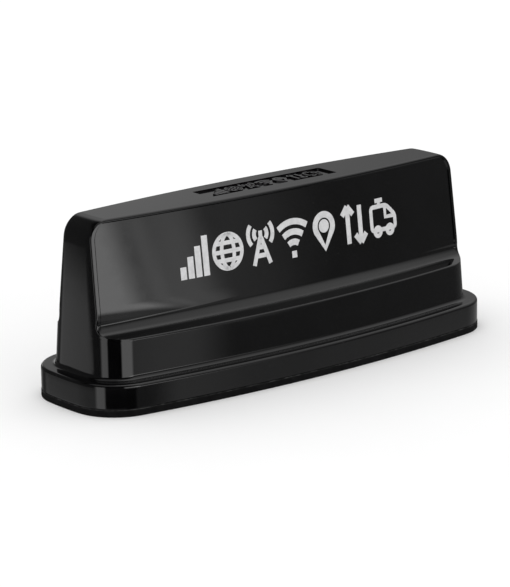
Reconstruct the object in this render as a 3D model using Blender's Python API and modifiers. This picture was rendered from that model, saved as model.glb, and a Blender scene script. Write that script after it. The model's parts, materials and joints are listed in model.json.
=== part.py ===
"""Low roof-top radio antenna for a vehicle: gasket, die-cast base, boards, jacks and one-piece radome.

Metres, +Z up. X runs along the body, the origin is the middle of the gasket's underside.
Plan outlines are bowed rectangles: two long arcs, two short arcs and four corner arcs, all tangent.
"""
import math

import bmesh
import bpy
from mathutils import Matrix, Vector

MM = 0.001

# ---- driving dimensions --------------------------------------------------------------------------
LENGTH = 220.0 * MM            # over the gasket
WIDTH = 73.4 * MM              # over the gasket, at the middle
HEIGHT = 79.0 * MM             # gasket underside to the flat top
SIDE_BOW = 9.4 * MM            # how far a long side bows out over the length
END_BOW = 3.8 * MM             # how far a short side bows out over the width
CORNER_R = 21.4 * MM           # plan radius of the four corners
GAP = 0.3 * MM                 # between two pieces that touch
SLIP = 0.4 * MM                # between two pieces that slide together
SMALL_R = 1.0 * MM             # corners of boards and small plates
PAST = 1.0 * MM                # a cutter or a root runs this far past the face it meets

GASKET_T = 3.2 * MM
GASKET_PROUD = 0.1 * MM        # gasket edge beyond the radome's flange
FLANGE_TOP = 13.7 * MM         # height of the flange's flat top
FLANGE_WALL = 3.0 * MM
FLANGE_EDGE_R = 1.4 * MM
LEDGE = 6.4 * MM               # flange edge to the foot of the tower
FOOT_R = 1.9 * MM              # hollow fillet at the tower's foot
WALL = 2.8 * MM

TOP_SETBACK = 9.1 * MM         # flange's end to the top's end, before the end fillets
SIDE_DRAFT = 0.060             # lean of the lower band, run over rise
SHOULDER_Z = 30.9 * MM         # top of the lower band
SHOULDER_RISE = 0.7 * MM       # the shoulder climbs this much on its way in
SHOULDER_R = 6.6 * MM          # hollow sweep from the shoulder up into the side panel
BAND_EDGE_R = 1.0 * MM
TOP_WIDTH = 28.5 * MM          # flat top between the side panels, at the middle
PANEL_DRAFT = 0.122            # lean of the side panels
PANEL_BOW = 5.75 * MM          # how far a side panel bows out over the top's length
PANEL_EDGE_R = 1.0 * MM
TOP_END_R = 8.5 * MM           # fillet from each end face onto the top
TOP_EDGE_R = 0.8 * MM
RECESS_L = 70.6 * MM           # shallow recess in the flat top
RECESS_W = 12.6 * MM
RECESS_DEPTH = 0.8 * MM
RECESS_R = 0.8 * MM

FLOOR_T = 3.0 * MM             # base casting floor
SPIGOT_T = 1.2 * MM
SPIGOT_H = 3.0 * MM
SEAL_W = 1.7 * MM

SCREW_X_INNER = 30.0 * MM
SCREW_X_SETBACK = 25.9 * MM    # flange's end to the outer screws
SCREW_D = 3.0 * MM
SCREW_HEAD_D = 5.6 * MM
SCREW_HEAD_H = 1.6 * MM
SCREW_TIP = 0.5 * MM           # chamfer at the end of the thread
SCREW_HEAD_RIM = 0.3 * MM      # upright edge of the countersunk head
SCREW_SUNK = 0.1 * MM          # heads lie this far above the floor's underside
SCREW_BITE = 5.4 * MM          # shank length above the base floor
BOSS_D = 6.6 * MM
BOSS_TOP = 16.0 * MM

INSERT_X, INSERT_Y = 70.0 * MM, 15.0 * MM
INSERT_D = 7.0 * MM
INSERT_BORE_D = 4.2 * MM       # minor diameter of an M5 thread
INSERT_L = 6.5 * MM
INSERT_WALL = 2.0 * MM         # casting around and over an insert

BAY_END = 7.8 * MM             # last jack to the end of the connector bay
BAY_WIDTH = 25.6 * MM
BAY_R = 4.0 * MM
BAY_WALL = 2.2 * MM
BAY_ROOF_T = 2.5 * MM
BAY_ROOF_TOP = 17.5 * MM
GASKET_MARGIN = 1.0 * MM       # gasket opening beyond the bay and the inserts

JACK_COUNT = 5
JACK_ROOM = 4.4 * MM           # between the shoulders of two jacks
JACK_THREAD_D = 6.2 * MM
JACK_FLANGE_RIM = 0.7 * MM      # shoulder under the casting, beyond the thread
JACK_FLANGE_H = 2.0 * MM
JACK_TAIL_D = 5.0 * MM
JACK_TAIL_H = 2.2 * MM
JACK_END_Z = 4.6 * MM
JACK_SOCKET_D = 4.6 * MM
JACK_SOCKET_L = 5.5 * MM
JACK_PIN_D = 1.3 * MM
JACK_NUT_WALL = 0.6 * MM        # nut's bore to its flats
JACK_NUT_H = 2.2 * MM
JACK_PIN_SUNK = 1.0 * MM       # centre pin's tip inside the socket's mouth
LEAD_D = 1.8 * MM

VENT_Y = 9.3 * MM
VENT_HEAD_D = 6.4 * MM
VENT_HEAD_H = 1.4 * MM
VENT_HEAD_R = 0.4 * MM
VENT_STEM_D = 4.0 * MM

PLATE_T = 1.0 * MM             # ground plate
PLATE_INSET = 15.0 * MM        # from the flange's edge
PLATE_WINDOW_END = 6.0 * MM    # last jack to the end of the plate's window
PLATE_WINDOW_W = 10.4 * MM
PLATE_WINDOW_R = 1.5 * MM
PILLAR_X, PILLAR_Y = 52.0 * MM, 12.0 * MM
PILLAR_D = 8.0 * MM
PILLAR_SCREW_L = 8.0 * MM
PILLAR_HEAD_D = 5.6 * MM
PILLAR_HEAD_H = 2.0 * MM
PILLAR_HEAD_R = 0.5 * MM

HOLDER_H = 8.0 * MM
HOLDER_FLOOR = 2.0 * MM
HOLDER_WALL = 4.2 * MM         # each side of a board's slot
HOLDER_CHAMFER = 0.4 * MM
PEG_D = 3.0 * MM

CELL_BOARD_T = 1.6 * MM
CELL_BOARD_START = 32.0 * MM   # near edge, from the middle of the body
CELL_BOARD_SETBACK = 8.8 * MM  # far edge, from the top's end
HEADROOM = 3.3 * MM            # over the loading plates, under the radome's top
CELL_BOARD_CORNER_R = 6.0 * MM
CELL_HOLDER_IN = (14.0 * MM, 8.0 * MM)   # holders from a board's near and far edge
CELL_HOLDER_L = 9.0 * MM
LOAD_PLATE_IN = 6.0 * MM       # loading plate's ends, from its board's ends
LOAD_PLATE_W = 10.0 * MM
LOAD_PLATE_T = 0.6 * MM

WIFI_BOARD_T = 1.2 * MM
WIFI_BOARD_W = 20.0 * MM
WIFI_BOARD_TOP = 54.0 * MM
WIFI_HOLDER_W = 22.0 * MM
WIFI_HOLDER_WALL = 1.0 * MM
WIFI_HOLDER_H = 6.0 * MM
WIFI_PEG_Y = 8.5 * MM

GNSS_BOARD_L = 25.4 * MM
GNSS_SIDE_ROOM = 3.4 * MM      # board's edge to the radome's wall, at the board's height
GNSS_BOARD_T = 1.2 * MM
GNSS_BOARD_Z = 30.0 * MM
GNSS_PATCH_EDGE = 1.5 * MM     # patch's edge inside its board's, across the body
GNSS_PATCH_L = 25.0 * MM
GNSS_PATCH_T = 4.0 * MM
GNSS_POST_X = 10.2 * MM
GNSS_POST_IN = 2.5 * MM        # posts from the board's long edge
GNSS_POST_D = 4.0 * MM
GNSS_PEG_D = 2.0 * MM
GNSS_CAN_L, GNSS_CAN_W, GNSS_CAN_H = 10.0 * MM, 9.0 * MM, 2.6 * MM
GNSS_CAN_X, GNSS_CAN_Y = -2.0 * MM, -6.0 * MM

# ---- levels and offsets that follow --------------------------------------------------------------
FLANGE_HALF_L = LENGTH / 2 - GASKET_PROUD
FLANGE_HALF_W = WIDTH / 2 - GASKET_PROUD
TOP_HALF_LENGTH = FLANGE_HALF_L - TOP_SETBACK
PANEL_TOP_HALF = TOP_WIDTH / 2
SCREW_X = (SCREW_X_INNER, FLANGE_HALF_L - SCREW_X_SETBACK)
FLOOR_Z = GASKET_T + GAP
FLOOR_TOP = FLOOR_Z + FLOOR_T
FLANGE_UNDER = FLANGE_TOP - WALL
FLOOR_INSET = FLANGE_WALL + SLIP
SPIGOT_INSET = FLOOR_INSET + SEAL_W + SLIP
BOSS_INSET = SPIGOT_INSET + SPIGOT_T + SLIP + BOSS_D / 2
PLATE_Z = BAY_ROOF_TOP + GAP
PLATE_TOP = PLATE_Z + PLATE_T
HOLDER_Z = PLATE_TOP + GAP
BOARD_Z = HOLDER_Z + HOLDER_FLOOR + GAP
JACK_BORE_D = JACK_THREAD_D + 2 * GAP
JACK_FLANGE_D = JACK_THREAD_D + 2 * JACK_FLANGE_RIM
JACK_NUT_AF = JACK_BORE_D + 2 * JACK_NUT_WALL
JACK_PITCH = JACK_FLANGE_D + JACK_ROOM
JACK_REACH = (JACK_COUNT - 1) * JACK_PITCH / 2
BAY_LENGTH = 2 * (JACK_REACH + BAY_END)
PLATE_WINDOW_L = 2 * (JACK_REACH + PLATE_WINDOW_END)
WIFI_BOARD_X = JACK_REACH - JACK_PITCH / 2
JACK_TOP = BAY_ROOF_TOP + GAP + JACK_FLANGE_H + JACK_TAIL_H
LEAD_START_Z = JACK_TOP + GAP
LEAD_OFF_BOARD = LEAD_D / 2 + GAP
CELL_BOARD_END = TOP_HALF_LENGTH - CELL_BOARD_SETBACK
CELL_BOARD_L = CELL_BOARD_END - CELL_BOARD_START
CELL_BOARD_TOP = HEIGHT - WALL - HEADROOM - LOAD_PLATE_T - GAP
CELL_HOLDER_X = (CELL_BOARD_START + CELL_HOLDER_IN[0], CELL_BOARD_END - CELL_HOLDER_IN[1])
LOAD_PLATE_L = CELL_BOARD_L - 2 * LOAD_PLATE_IN
GNSS_WALL_Y = PANEL_TOP_HALF + PANEL_DRAFT * (HEIGHT - GNSS_BOARD_Z) - WALL
GNSS_BOARD_W = 2 * (GNSS_WALL_Y - GNSS_SIDE_ROOM)
GNSS_PATCH_W = GNSS_BOARD_W - 2 * GNSS_PATCH_EDGE
GNSS_POST_Y = GNSS_BOARD_W / 2 - GNSS_POST_IN

# ---- mesh detail ---------------------------------------------------------------------------------
SIDE_STEPS, EDGE_STEPS, CORNER_STEPS, END_STEPS = 6, 2, 4, 2
ROUND_STEPS = 12
HOLE_STEPS = 12


# ---- plan outlines -------------------------------------------------------------------------------
def bow_radius(half_chord, bow):
    """Radius of an arc that rises by bow over the half chord."""
    return (half_chord ** 2 + bow ** 2) / (2 * bow)


def circle_meeting(c1, r1, c2, r2):
    """Point that lies r1 from c1 and r2 from c2, the one further towards -X and -Y."""
    line = c2 - c1
    gap = line.length
    along = (gap ** 2 + r1 ** 2 - r2 ** 2) / (2 * gap)
    across = math.sqrt(max(r1 ** 2 - along ** 2, 0.0))
    unit = line / gap
    foot = c1 + unit * along
    normal = Vector((-unit.y, unit.x))
    return min((foot + normal * across, foot - normal * across), key=lambda p: p.x + p.y)


def arc_points(centre, radius, start, end, steps):
    """Points on a circle from the angle of start to the angle of end, the last one left out."""
    a0 = math.atan2(start.y - centre.y, start.x - centre.x)
    a1 = math.atan2(end.y - centre.y, end.x - centre.x)
    turn = (a1 - a0 + math.pi) % (2 * math.pi) - math.pi
    angles = (a0 + turn * i / steps for i in range(steps))
    return [centre + Vector((math.cos(a), math.sin(a))) * radius for a in angles]


def quarter_to_ring(quarter):
    """Mirror a quarter, from the -Y axis round to the -X axis, into a closed ring."""
    upper = [Vector((p.x, -p.y)) for p in reversed(quarter[:-1])]
    left = quarter + upper
    right = [Vector((-p.x, p.y)) for p in reversed(left[1:-1])]
    return left + right


def body_outline(half_l, half_w, inset=0.0, cut_half=None, cut_r=None, edge_r=PANEL_EDGE_R):
    """Ring of the bowed rectangle, moved in by inset; side cuts trim it to cut_half if given."""
    side_r = bow_radius(half_l, SIDE_BOW) - inset
    end_r = bow_radius(half_w, END_BOW) - inset
    corner_r = CORNER_R - inset
    side_c = Vector((0.0, -half_w + inset + side_r))
    end_c = Vector((-half_l + inset + end_r, 0.0))
    corner_c = circle_meeting(side_c, side_r - corner_r, end_c, end_r - corner_r)
    end_join = end_c + (corner_c - end_c).normalized() * end_r
    if cut_half is None:
        side_join = side_c + (corner_c - side_c).normalized() * side_r
        edge_end = arc_points(corner_c, corner_r, side_join, end_join, 8)[1]
        edge_c, edge_r, flat_r, flat_c = corner_c, corner_r, side_r, side_c
    else:
        flat_r = cut_r
        flat_c = Vector((0.0, -cut_half + cut_r))
        edge_c = circle_meeting(flat_c, flat_r - edge_r, corner_c, corner_r - edge_r)
        edge_end = corner_c + (edge_c - corner_c).normalized() * corner_r
        side_join = flat_c + (edge_c - flat_c).normalized() * flat_r
        if edge_end.y > end_join.y:
            edge_c = circle_meeting(flat_c, flat_r - edge_r, end_c, end_r - edge_r)
            edge_end = end_c + (edge_c - end_c).normalized() * end_r
            side_join = flat_c + (edge_c - flat_c).normalized() * flat_r
            end_join = edge_end
    middle = Vector((0.0, flat_c.y - flat_r))
    tip = Vector((end_c.x - end_r, 0.0))
    quarter = arc_points(flat_c, flat_r, middle, side_join, SIDE_STEPS)
    quarter += arc_points(edge_c, edge_r, side_join, edge_end, EDGE_STEPS)
    if end_join == edge_end:
        quarter += arc_points(end_c, end_r, edge_end, tip, CORNER_STEPS + END_STEPS)
    else:
        quarter += arc_points(corner_c, corner_r, edge_end, end_join, CORNER_STEPS)
        quarter += arc_points(end_c, end_r, end_join, tip, END_STEPS)
    return quarter_to_ring(quarter + [tip])


def flange_ring(inset=0.0):
    """Outline of the radome's flange, moved in by inset."""
    return body_outline(FLANGE_HALF_L, FLANGE_HALF_W, inset)


def circle_ring(x, y, diameter, steps=HOLE_STEPS):
    """Round loop."""
    turn = 2 * math.pi / steps
    r = diameter / 2
    return [Vector((x + r * math.cos(i * turn), y + r * math.sin(i * turn))) for i in range(steps)]


def box_ring(length, width, radius, x=0.0, y=0.0, steps=4):
    """Rounded rectangle loop."""
    points = []
    for sx, sy, start in ((1, 1, 0), (-1, 1, 1), (-1, -1, 2), (1, -1, 3)):
        cx = x + sx * (length / 2 - radius)
        cy = y + sy * (width / 2 - radius)
        for i in range(steps + 1):
            angle = (start + i / steps) * math.pi / 2
            points.append(Vector((cx + radius * math.cos(angle), cy + radius * math.sin(angle))))
    return points


# ---- scene and materials -------------------------------------------------------------------------
def clear_scene():
    """Remove every object, so that the model starts from nothing."""
    for obj in list(bpy.data.objects):
        bpy.data.objects.remove(obj, do_unlink=True)


def new_collection(name):
    """Collection linked to the scene."""
    collection = bpy.data.collections.new(name)
    bpy.context.scene.collection.children.link(collection)
    return collection


def finish(name, colour, roughness, metallic=0.0):
    """Principled material."""
    material = bpy.data.materials.new(name)
    material.use_nodes = True
    shader = material.node_tree.nodes["Principled BSDF"]
    shader.inputs["Base Color"].default_value = (*colour, 1.0)
    shader.inputs["Roughness"].default_value = roughness
    shader.inputs["Metallic"].default_value = metallic
    return material


def gloss_black():
    return finish("gloss_black_plastic", (0.012, 0.012, 0.013), 0.08)


def foam_black():
    return finish("black_foam", (0.010, 0.010, 0.010), 0.85)


def cast_metal():
    return finish("cast_metal", (0.42, 0.42, 0.43), 0.5, 1.0)


def seal_grey():
    return finish("seal_silicone", (0.16, 0.16, 0.17), 0.6)


def steel():
    return finish("zinc_steel", (0.55, 0.55, 0.56), 0.35, 1.0)


def brass():
    return finish("brass", (0.78, 0.57, 0.25), 0.3, 1.0)


def gold_plate():
    return finish("gold_plate", (0.85, 0.62, 0.28), 0.25, 1.0)


def tin_plate():
    return finish("tin_plate", (0.62, 0.63, 0.64), 0.3, 1.0)


def board_green():
    return finish("circuit_board", (0.02, 0.16, 0.07), 0.4)


def holder_white():
    return finish("holder_nylon", (0.62, 0.61, 0.57), 0.5)


def ceramic():
    return finish("patch_ceramic", (0.46, 0.36, 0.26), 0.5)


def lead_black():
    return finish("lead_jacket", (0.02, 0.02, 0.02), 0.45)


def vent_grey():
    return finish("vent_plastic", (0.22, 0.23, 0.24), 0.5)


# ---- mesh tools ----------------------------------------------------------------------------------
def add_object(name, mesh, collection, material):
    """Object for a mesh, smooth on its round faces."""
    obj = bpy.data.objects.new(name, mesh)
    collection.objects.link(obj)
    mesh.materials.clear()
    mesh.materials.append(material)
    mesh.shade_smooth()
    mesh.set_sharp_from_angle(angle=math.radians(35))
    return obj


def loft_mesh(name, rings):
    """Closed skin through rings of (points, height), with a flat cap on the first and the last."""
    bm = bmesh.new()
    loops = [[bm.verts.new((p.x, p.y, z)) for p in ring] for ring, z in rings]
    count = len(loops[0])
    for low, high in zip(loops, loops[1:]):
        for i in range(count):
            j = (i + 1) % count
            bm.faces.new((low[i], low[j], high[j], high[i]))
    bm.faces.new(loops[0])
    bm.faces.new(loops[-1])
    bmesh.ops.recalc_face_normals(bm, faces=bm.faces)
    if bm.calc_volume(signed=True) < 0:
        bmesh.ops.reverse_faces(bm, faces=bm.faces)
    mesh = bpy.data.meshes.new(name)
    bm.to_mesh(mesh)
    bm.free()
    return mesh


def plate_mesh(name, loops, low, high):
    """Flat sheet from low to high: the first loop is its outline, the others are holes."""
    curve = bpy.data.curves.new(name, "CURVE")
    curve.dimensions = "2D"
    curve.fill_mode = "BOTH"
    curve.extrude = (high - low) / 2
    for loop in loops:
        spline = curve.splines.new("POLY")
        spline.points.add(len(loop) - 1)
        for point, place in zip(spline.points, loop):
            point.co = (place.x, place.y, 0.0, 1.0)
        spline.use_cyclic_u = True
    holder = bpy.data.objects.new(name + "_curve", curve)
    bpy.context.scene.collection.objects.link(holder)
    holder.location.z = (low + high) / 2
    return curve_to_mesh(name, holder)


def curve_to_mesh(name, holder):
    """Mesh of a curve object in world space, welded; the curve is removed."""
    bpy.context.view_layer.update()
    graph = bpy.context.evaluated_depsgraph_get()
    mesh = bpy.data.meshes.new_from_object(holder.evaluated_get(graph))
    mesh.name = name
    mesh.transform(holder.matrix_world)
    curve = holder.data
    bpy.data.objects.remove(holder, do_unlink=True)
    bpy.data.curves.remove(curve)
    bm = bmesh.new()
    bm.from_mesh(mesh)
    bmesh.ops.remove_doubles(bm, verts=bm.verts, dist=1e-6)
    bmesh.ops.recalc_face_normals(bm, faces=bm.faces)
    bm.to_mesh(mesh)
    bm.free()
    return mesh


def cylinder_mesh(name, x, y, low, high, diameter, steps=ROUND_STEPS):
    """Upright cylinder."""
    bm = bmesh.new()
    place = Matrix.Translation((x, y, (low + high) / 2))
    bmesh.ops.create_cone(bm, cap_ends=True, segments=steps, radius1=diameter / 2,
                          radius2=diameter / 2, depth=high - low, matrix=place)
    mesh = bpy.data.meshes.new(name)
    bm.to_mesh(mesh)
    bm.free()
    return mesh


def box_mesh(name, size, centre):
    """Box."""
    bm = bmesh.new()
    place = Matrix.Translation(centre) @ Matrix.Diagonal((*size, 1.0))
    bmesh.ops.create_cube(bm, size=1.0, matrix=place)
    mesh = bpy.data.meshes.new(name)
    bm.to_mesh(mesh)
    bm.free()
    return mesh


def joined(name, meshes):
    """One mesh that holds several separate closed shapes, for a cutter or a set of added shapes."""
    bm = bmesh.new()
    for mesh in meshes:
        bm.from_mesh(mesh)
        bpy.data.meshes.remove(mesh)
    mesh = bpy.data.meshes.new(name)
    bm.to_mesh(mesh)
    bm.free()
    return mesh


def boolean(obj, mesh, operation):
    """Add a live Boolean with a hidden operand."""
    cutter = bpy.data.objects.new(obj.name + "_" + mesh.name, mesh)
    CUTTERS.objects.link(cutter)
    cutter.hide_render = True
    cutter.display_type = "WIRE"
    modifier = obj.modifiers.new(mesh.name, "BOOLEAN")
    modifier.operation = operation
    modifier.solver = "EXACT"
    modifier.object = cutter


def turned(name, profile, collection, material, place, steps=ROUND_STEPS):
    """Turned piece: profile of (radius, height) from the top down its outer side, spun about Z."""
    mesh = bpy.data.meshes.new(name)
    mesh.from_pydata([(r, 0.0, z) for r, z in profile], [(i, i + 1) for i in range(len(profile) - 1)], [])
    obj = bpy.data.objects.new(name, mesh)
    collection.objects.link(obj)
    mesh.materials.append(material)
    obj.location = place
    screw = obj.modifiers.new("spin", "SCREW")
    screw.steps = steps
    screw.render_steps = steps
    screw.use_merge_vertices = True
    screw.merge_threshold = 1e-6
    screw.use_smooth_shade = True
    return obj


def mirrored_places(xs, y_of):
    """The four-way mirrored places of each x, numbered round the body."""
    return [(sx * x, sy * y_of(x)) for sy in (-1, 1) for x in xs for sx in (-1, 1)]


# ---- radome --------------------------------------------------------------------------------------
def tower_half_length(z):
    """Half length of the tower at a height: straight lean from the foot to the top."""
    foot = FLANGE_HALF_L - LEDGE
    share = (z - FLANGE_TOP) / (HEIGHT - FLANGE_TOP)
    return foot + (TOP_HALF_LENGTH - foot) * share


def band_half_width(z):
    """Half width of the tower's lower band at the middle."""
    return FLANGE_HALF_W - LEDGE - SIDE_DRAFT * (z - FLANGE_TOP)


def panel_half_width(z):
    """Half width between the side panels at the middle."""
    return PANEL_TOP_HALF + PANEL_DRAFT * (HEIGHT - z)


def cut_radius(z):
    """Plan radius of the side cut: the body's own bow at the shoulder, the panel's further up."""
    body = bow_radius(FLANGE_HALF_L, SIDE_BOW) - LEDGE
    panel = bow_radius(TOP_HALF_LENGTH, PANEL_BOW)
    share = min(max((z - SHOULDER_Z) / (SHOULDER_RISE + SHOULDER_R), 0.0), 1.0)
    return 1 / ((1 - share) / body + share / panel)


def tower_ring(z, wall=0.0, end_in=0.0, cut_half=None, edge_r=PANEL_EDGE_R):
    """Section of the tower's skin at a height, or of its inner side when wall is given."""
    half_l = tower_half_length(z) + LEDGE - end_in
    half_w = band_half_width(z) + LEDGE
    return body_outline(half_l, half_w, LEDGE + wall, cut_half, cut_radius(z) - wall, edge_r)


def sweep_profile(radius, wall):
    """Half widths and heights of the hollow sweep, from the shoulder up to where it meets the panel."""
    centre_z = SHOULDER_Z + SHOULDER_RISE + SHOULDER_R
    lean = math.atan(PANEL_DRAFT)
    centre_y = panel_half_width(centre_z) + SHOULDER_R / math.cos(lean)
    steps = 4
    points = []
    for i in range(steps + 1):
        angle = math.pi / 2 - (math.pi / 2 - lean) * i / steps
        points.append((centre_y - radius * math.cos(angle), centre_z - radius * math.sin(angle)))
    return [(y, z) for y, z in points if y < band_half_width(z) - wall - BAND_EDGE_R * 0.2]


def outer_rings():
    """Sections of the radome's outer skin, from the rim up."""
    rings = [(flange_ring(), FLOOR_Z)]
    for turn in (0.0, 45.0, 90.0):
        angle = math.radians(turn)
        inset = FLANGE_EDGE_R * (1 - math.cos(angle))
        rings.append((flange_ring(inset), FLANGE_TOP - FLANGE_EDGE_R * (1 - math.sin(angle))))
    for turn in (0.0, 45.0, 90.0):
        angle = math.radians(turn)
        inset = LEDGE - FOOT_R * (1 - math.sin(angle))
        rings.append((flange_ring(inset), FLANGE_TOP + FOOT_R * (1 - math.cos(angle))))
    edge_z = SHOULDER_Z - BAND_EDGE_R
    rings.append((tower_ring(edge_z), edge_z))
    for turn in (45.0, 90.0):
        angle = math.radians(turn)
        z = edge_z + BAND_EDGE_R * math.sin(angle)
        cut = band_half_width(edge_z) - BAND_EDGE_R * (1 - math.cos(angle))
        rings.append((tower_ring(z, cut_half=cut), z))
    for cut, z in sweep_profile(SHOULDER_R, 0.0):
        rings.append((tower_ring(z, cut_half=cut), z))
    return rings + top_rings(HEIGHT, TOP_END_R, TOP_EDGE_R, 0.0)


def top_rings(top, end_r, edge_r, wall):
    """Sections over the end fillets and the top's long edges."""
    rings = []
    for turn in (0.0, 25.0, 50.0, 90.0):
        angle = math.radians(turn)
        z = top - end_r * (1 - math.sin(angle))
        drop = max(z - (top - edge_r), 0.0)
        rounded = edge_r - math.sqrt(max(edge_r ** 2 - drop ** 2, 0.0))
        cut = panel_half_width(z) - wall - rounded
        rings.append((tower_ring(z, wall, end_r * (1 - math.cos(angle)), cut), z))
        if turn == 50.0:
            z = top - edge_r
            angle = math.asin(1 - edge_r / end_r)
            end_in = end_r * (1 - math.cos(angle))
            rings.append((tower_ring(z, wall, end_in, panel_half_width(z) - wall), z))
    return rings


def inner_rings():
    """Sections of the hollow inside, from below the rim up."""
    rings = [(flange_ring(FLANGE_WALL), FLOOR_Z - WALL), (flange_ring(FLANGE_WALL), FLANGE_UNDER)]
    rings.append((tower_ring(FLANGE_UNDER, WALL), FLANGE_UNDER))
    low = SHOULDER_Z - WALL - BAND_EDGE_R
    rings.append((tower_ring(low, WALL), low))
    for cut, z in sweep_profile(SHOULDER_R + WALL, WALL):
        if z > low + BAND_EDGE_R:
            rings.append((tower_ring(z, WALL, cut_half=cut), z))
    return rings + top_rings(HEIGHT - WALL, TOP_END_R - WALL, TOP_EDGE_R, WALL)


def screw_places():
    """Centres of the screws that hold the radome, on a line inside its flange."""
    radius = bow_radius(FLANGE_HALF_L, SIDE_BOW) - BOSS_INSET
    centre_y = bow_radius(FLANGE_HALF_L, SIDE_BOW) - FLANGE_HALF_W
    return mirrored_places(SCREW_X, lambda x: math.sqrt(radius ** 2 - x ** 2) - centre_y)


def make_radome(collection, material):
    """One-piece radome: lofted shell with eight screw bosses and a recess in its top."""
    radome = add_object("radome", loft_mesh("radome", outer_rings()), collection, material)
    boolean(radome, loft_mesh("hollow", inner_rings()), "DIFFERENCE")
    recess = plate_mesh("recess", [box_ring(RECESS_L, RECESS_W, RECESS_R)],
                        HEIGHT - RECESS_DEPTH, HEIGHT + PAST)
    boolean(radome, recess, "DIFFERENCE")
    places = screw_places()
    low = FLOOR_TOP + GAP
    bosses = [cylinder_mesh("boss", x, y, low, BOSS_TOP, BOSS_D) for x, y in places]
    boolean(radome, joined("bosses", bosses), "UNION")
    top = FLOOR_TOP + SCREW_BITE + 2 * GAP
    bores = [cylinder_mesh("bore", x, y, low - PAST, top, SCREW_D + 2 * GAP) for x, y in places]
    boolean(radome, joined("bores", bores), "DIFFERENCE")
    return radome


# ---- base casting, gasket and seal ---------------------------------------------------------------
def insert_places():
    """Centres of the threaded inserts that take the roof screws."""
    return mirrored_places((INSERT_X,), lambda x: INSERT_Y)


def pillar_places():
    """Centres of the pillars that carry the ground plate."""
    return mirrored_places((PILLAR_X,), lambda x: PILLAR_Y)


def jack_places():
    """X of each jack along the bay."""
    return [(i - (JACK_COUNT - 1) / 2) * JACK_PITCH for i in range(JACK_COUNT)]


def insert_bore_top():
    """Height of the blind end of the bores for the inserts."""
    return FLOOR_Z + INSERT_L + 2 * GAP


def base_shapes():
    """Solid shapes that stand on the floor: bay block, insert posts and pillars."""
    root = FLOOR_TOP - FLOOR_T / 2
    block_ring = box_ring(BAY_LENGTH + 2 * BAY_WALL, BAY_WIDTH + 2 * BAY_WALL, BAY_R + BAY_WALL)
    shapes = [plate_mesh("block", [block_ring], root, BAY_ROOF_TOP)]
    post_d = INSERT_D + 2 * GAP + 2 * INSERT_WALL
    post_top = insert_bore_top() + INSERT_WALL
    shapes += [cylinder_mesh("post", x, y, root, post_top, post_d, steps=16)
               for x, y in insert_places()]
    shapes += [cylinder_mesh("pillar", x, y, root, BAY_ROOF_TOP, PILLAR_D)
               for x, y in pillar_places()]
    return joined("standing", shapes)


def base_hollows():
    """Bay pocket, blind bores for the inserts and the pillars' screw bores."""
    below, above = FLOOR_Z - PAST, BAY_ROOF_TOP + PAST
    pocket_ring = box_ring(BAY_LENGTH, BAY_WIDTH, BAY_R)
    shapes = [plate_mesh("pocket", [pocket_ring], below, BAY_ROOF_TOP - BAY_ROOF_T)]
    shapes += [cylinder_mesh("bore", x, y, below, insert_bore_top(), INSERT_D + 2 * GAP, steps=16)
               for x, y in insert_places()]
    low = PLATE_TOP - PILLAR_SCREW_L
    shapes += [cylinder_mesh("bore", x, y, low, above, SCREW_D + 2 * GAP)
               for x, y in pillar_places()]
    return joined("hollows", shapes)


def base_bores():
    """Through holes in the bay's roof for the jacks and the vent."""
    low, high = BAY_ROOF_TOP - BAY_ROOF_T - PAST, BAY_ROOF_TOP + PAST
    shapes = [cylinder_mesh("bore", x, 0.0, low, high, JACK_BORE_D)
              for x in jack_places()]
    shapes.append(cylinder_mesh("bore", 0.0, VENT_Y, low, high, VENT_STEM_D + 2 * GAP))
    return joined("bores", shapes)


def countersunk_bores():
    """Through holes for the radome screws, with room for their heads."""
    wide, bore = SCREW_HEAD_D + 2 * GAP, SCREW_D + 2 * GAP
    rim_z = FLOOR_Z + SCREW_HEAD_RIM + SCREW_SUNK
    neck_z = FLOOR_Z + SCREW_HEAD_H + SCREW_SUNK + GAP
    steps = ((wide, FLOOR_Z - PAST), (wide, rim_z), (bore, neck_z), (bore, FLOOR_TOP + PAST))
    return joined("countersunk", [loft_mesh("sink", [(circle_ring(x, y, d), z) for d, z in steps])
                                  for x, y in screw_places()])


def make_base(collection, material):
    """Die-cast base with spigot, connector bay, insert posts and pillars."""
    floor = plate_mesh("base_plate", [flange_ring(FLOOR_INSET)], FLOOR_Z, FLOOR_TOP)
    base = add_object("base_plate", floor, collection, material)
    rim = [flange_ring(SPIGOT_INSET), flange_ring(SPIGOT_INSET + SPIGOT_T)]
    spigot = plate_mesh("spigot", rim, FLOOR_TOP - FLOOR_T / 2, FLOOR_TOP + SPIGOT_H)
    boolean(base, spigot, "UNION")
    boolean(base, base_shapes(), "UNION")
    for cutter in (base_hollows(), base_bores(), countersunk_bores()):
        boolean(base, cutter, "DIFFERENCE")
    return base


def make_gasket(collection, material):
    """Foam gasket under the base, open at the bay and at each insert."""
    sheet = plate_mesh("roof_gasket", [body_outline(LENGTH / 2, WIDTH / 2)], 0.0, GASKET_T)
    gasket = add_object("roof_gasket", sheet, collection, material)
    low, high = -PAST, GASKET_T + PAST
    bay_ring = box_ring(BAY_LENGTH + 2 * GASKET_MARGIN, BAY_WIDTH + 2 * GASKET_MARGIN, BAY_R)
    openings = [plate_mesh("opening", [bay_ring], low, high)]
    openings += [cylinder_mesh("hole", x, y, low, high, INSERT_D + 2 * GASKET_MARGIN, steps=16)
                 for x, y in insert_places()]
    boolean(gasket, joined("openings", openings), "DIFFERENCE")
    return gasket


def make_seal(collection, material):
    """Moulded seal that stands on the base floor, round the spigot."""
    loops = [flange_ring(FLOOR_INSET), flange_ring(FLOOR_INSET + SEAL_W)]
    mesh = plate_mesh("radome_seal", loops, FLOOR_TOP + GAP, FLANGE_UNDER - GAP)
    return add_object("radome_seal", mesh, collection, material)


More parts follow.
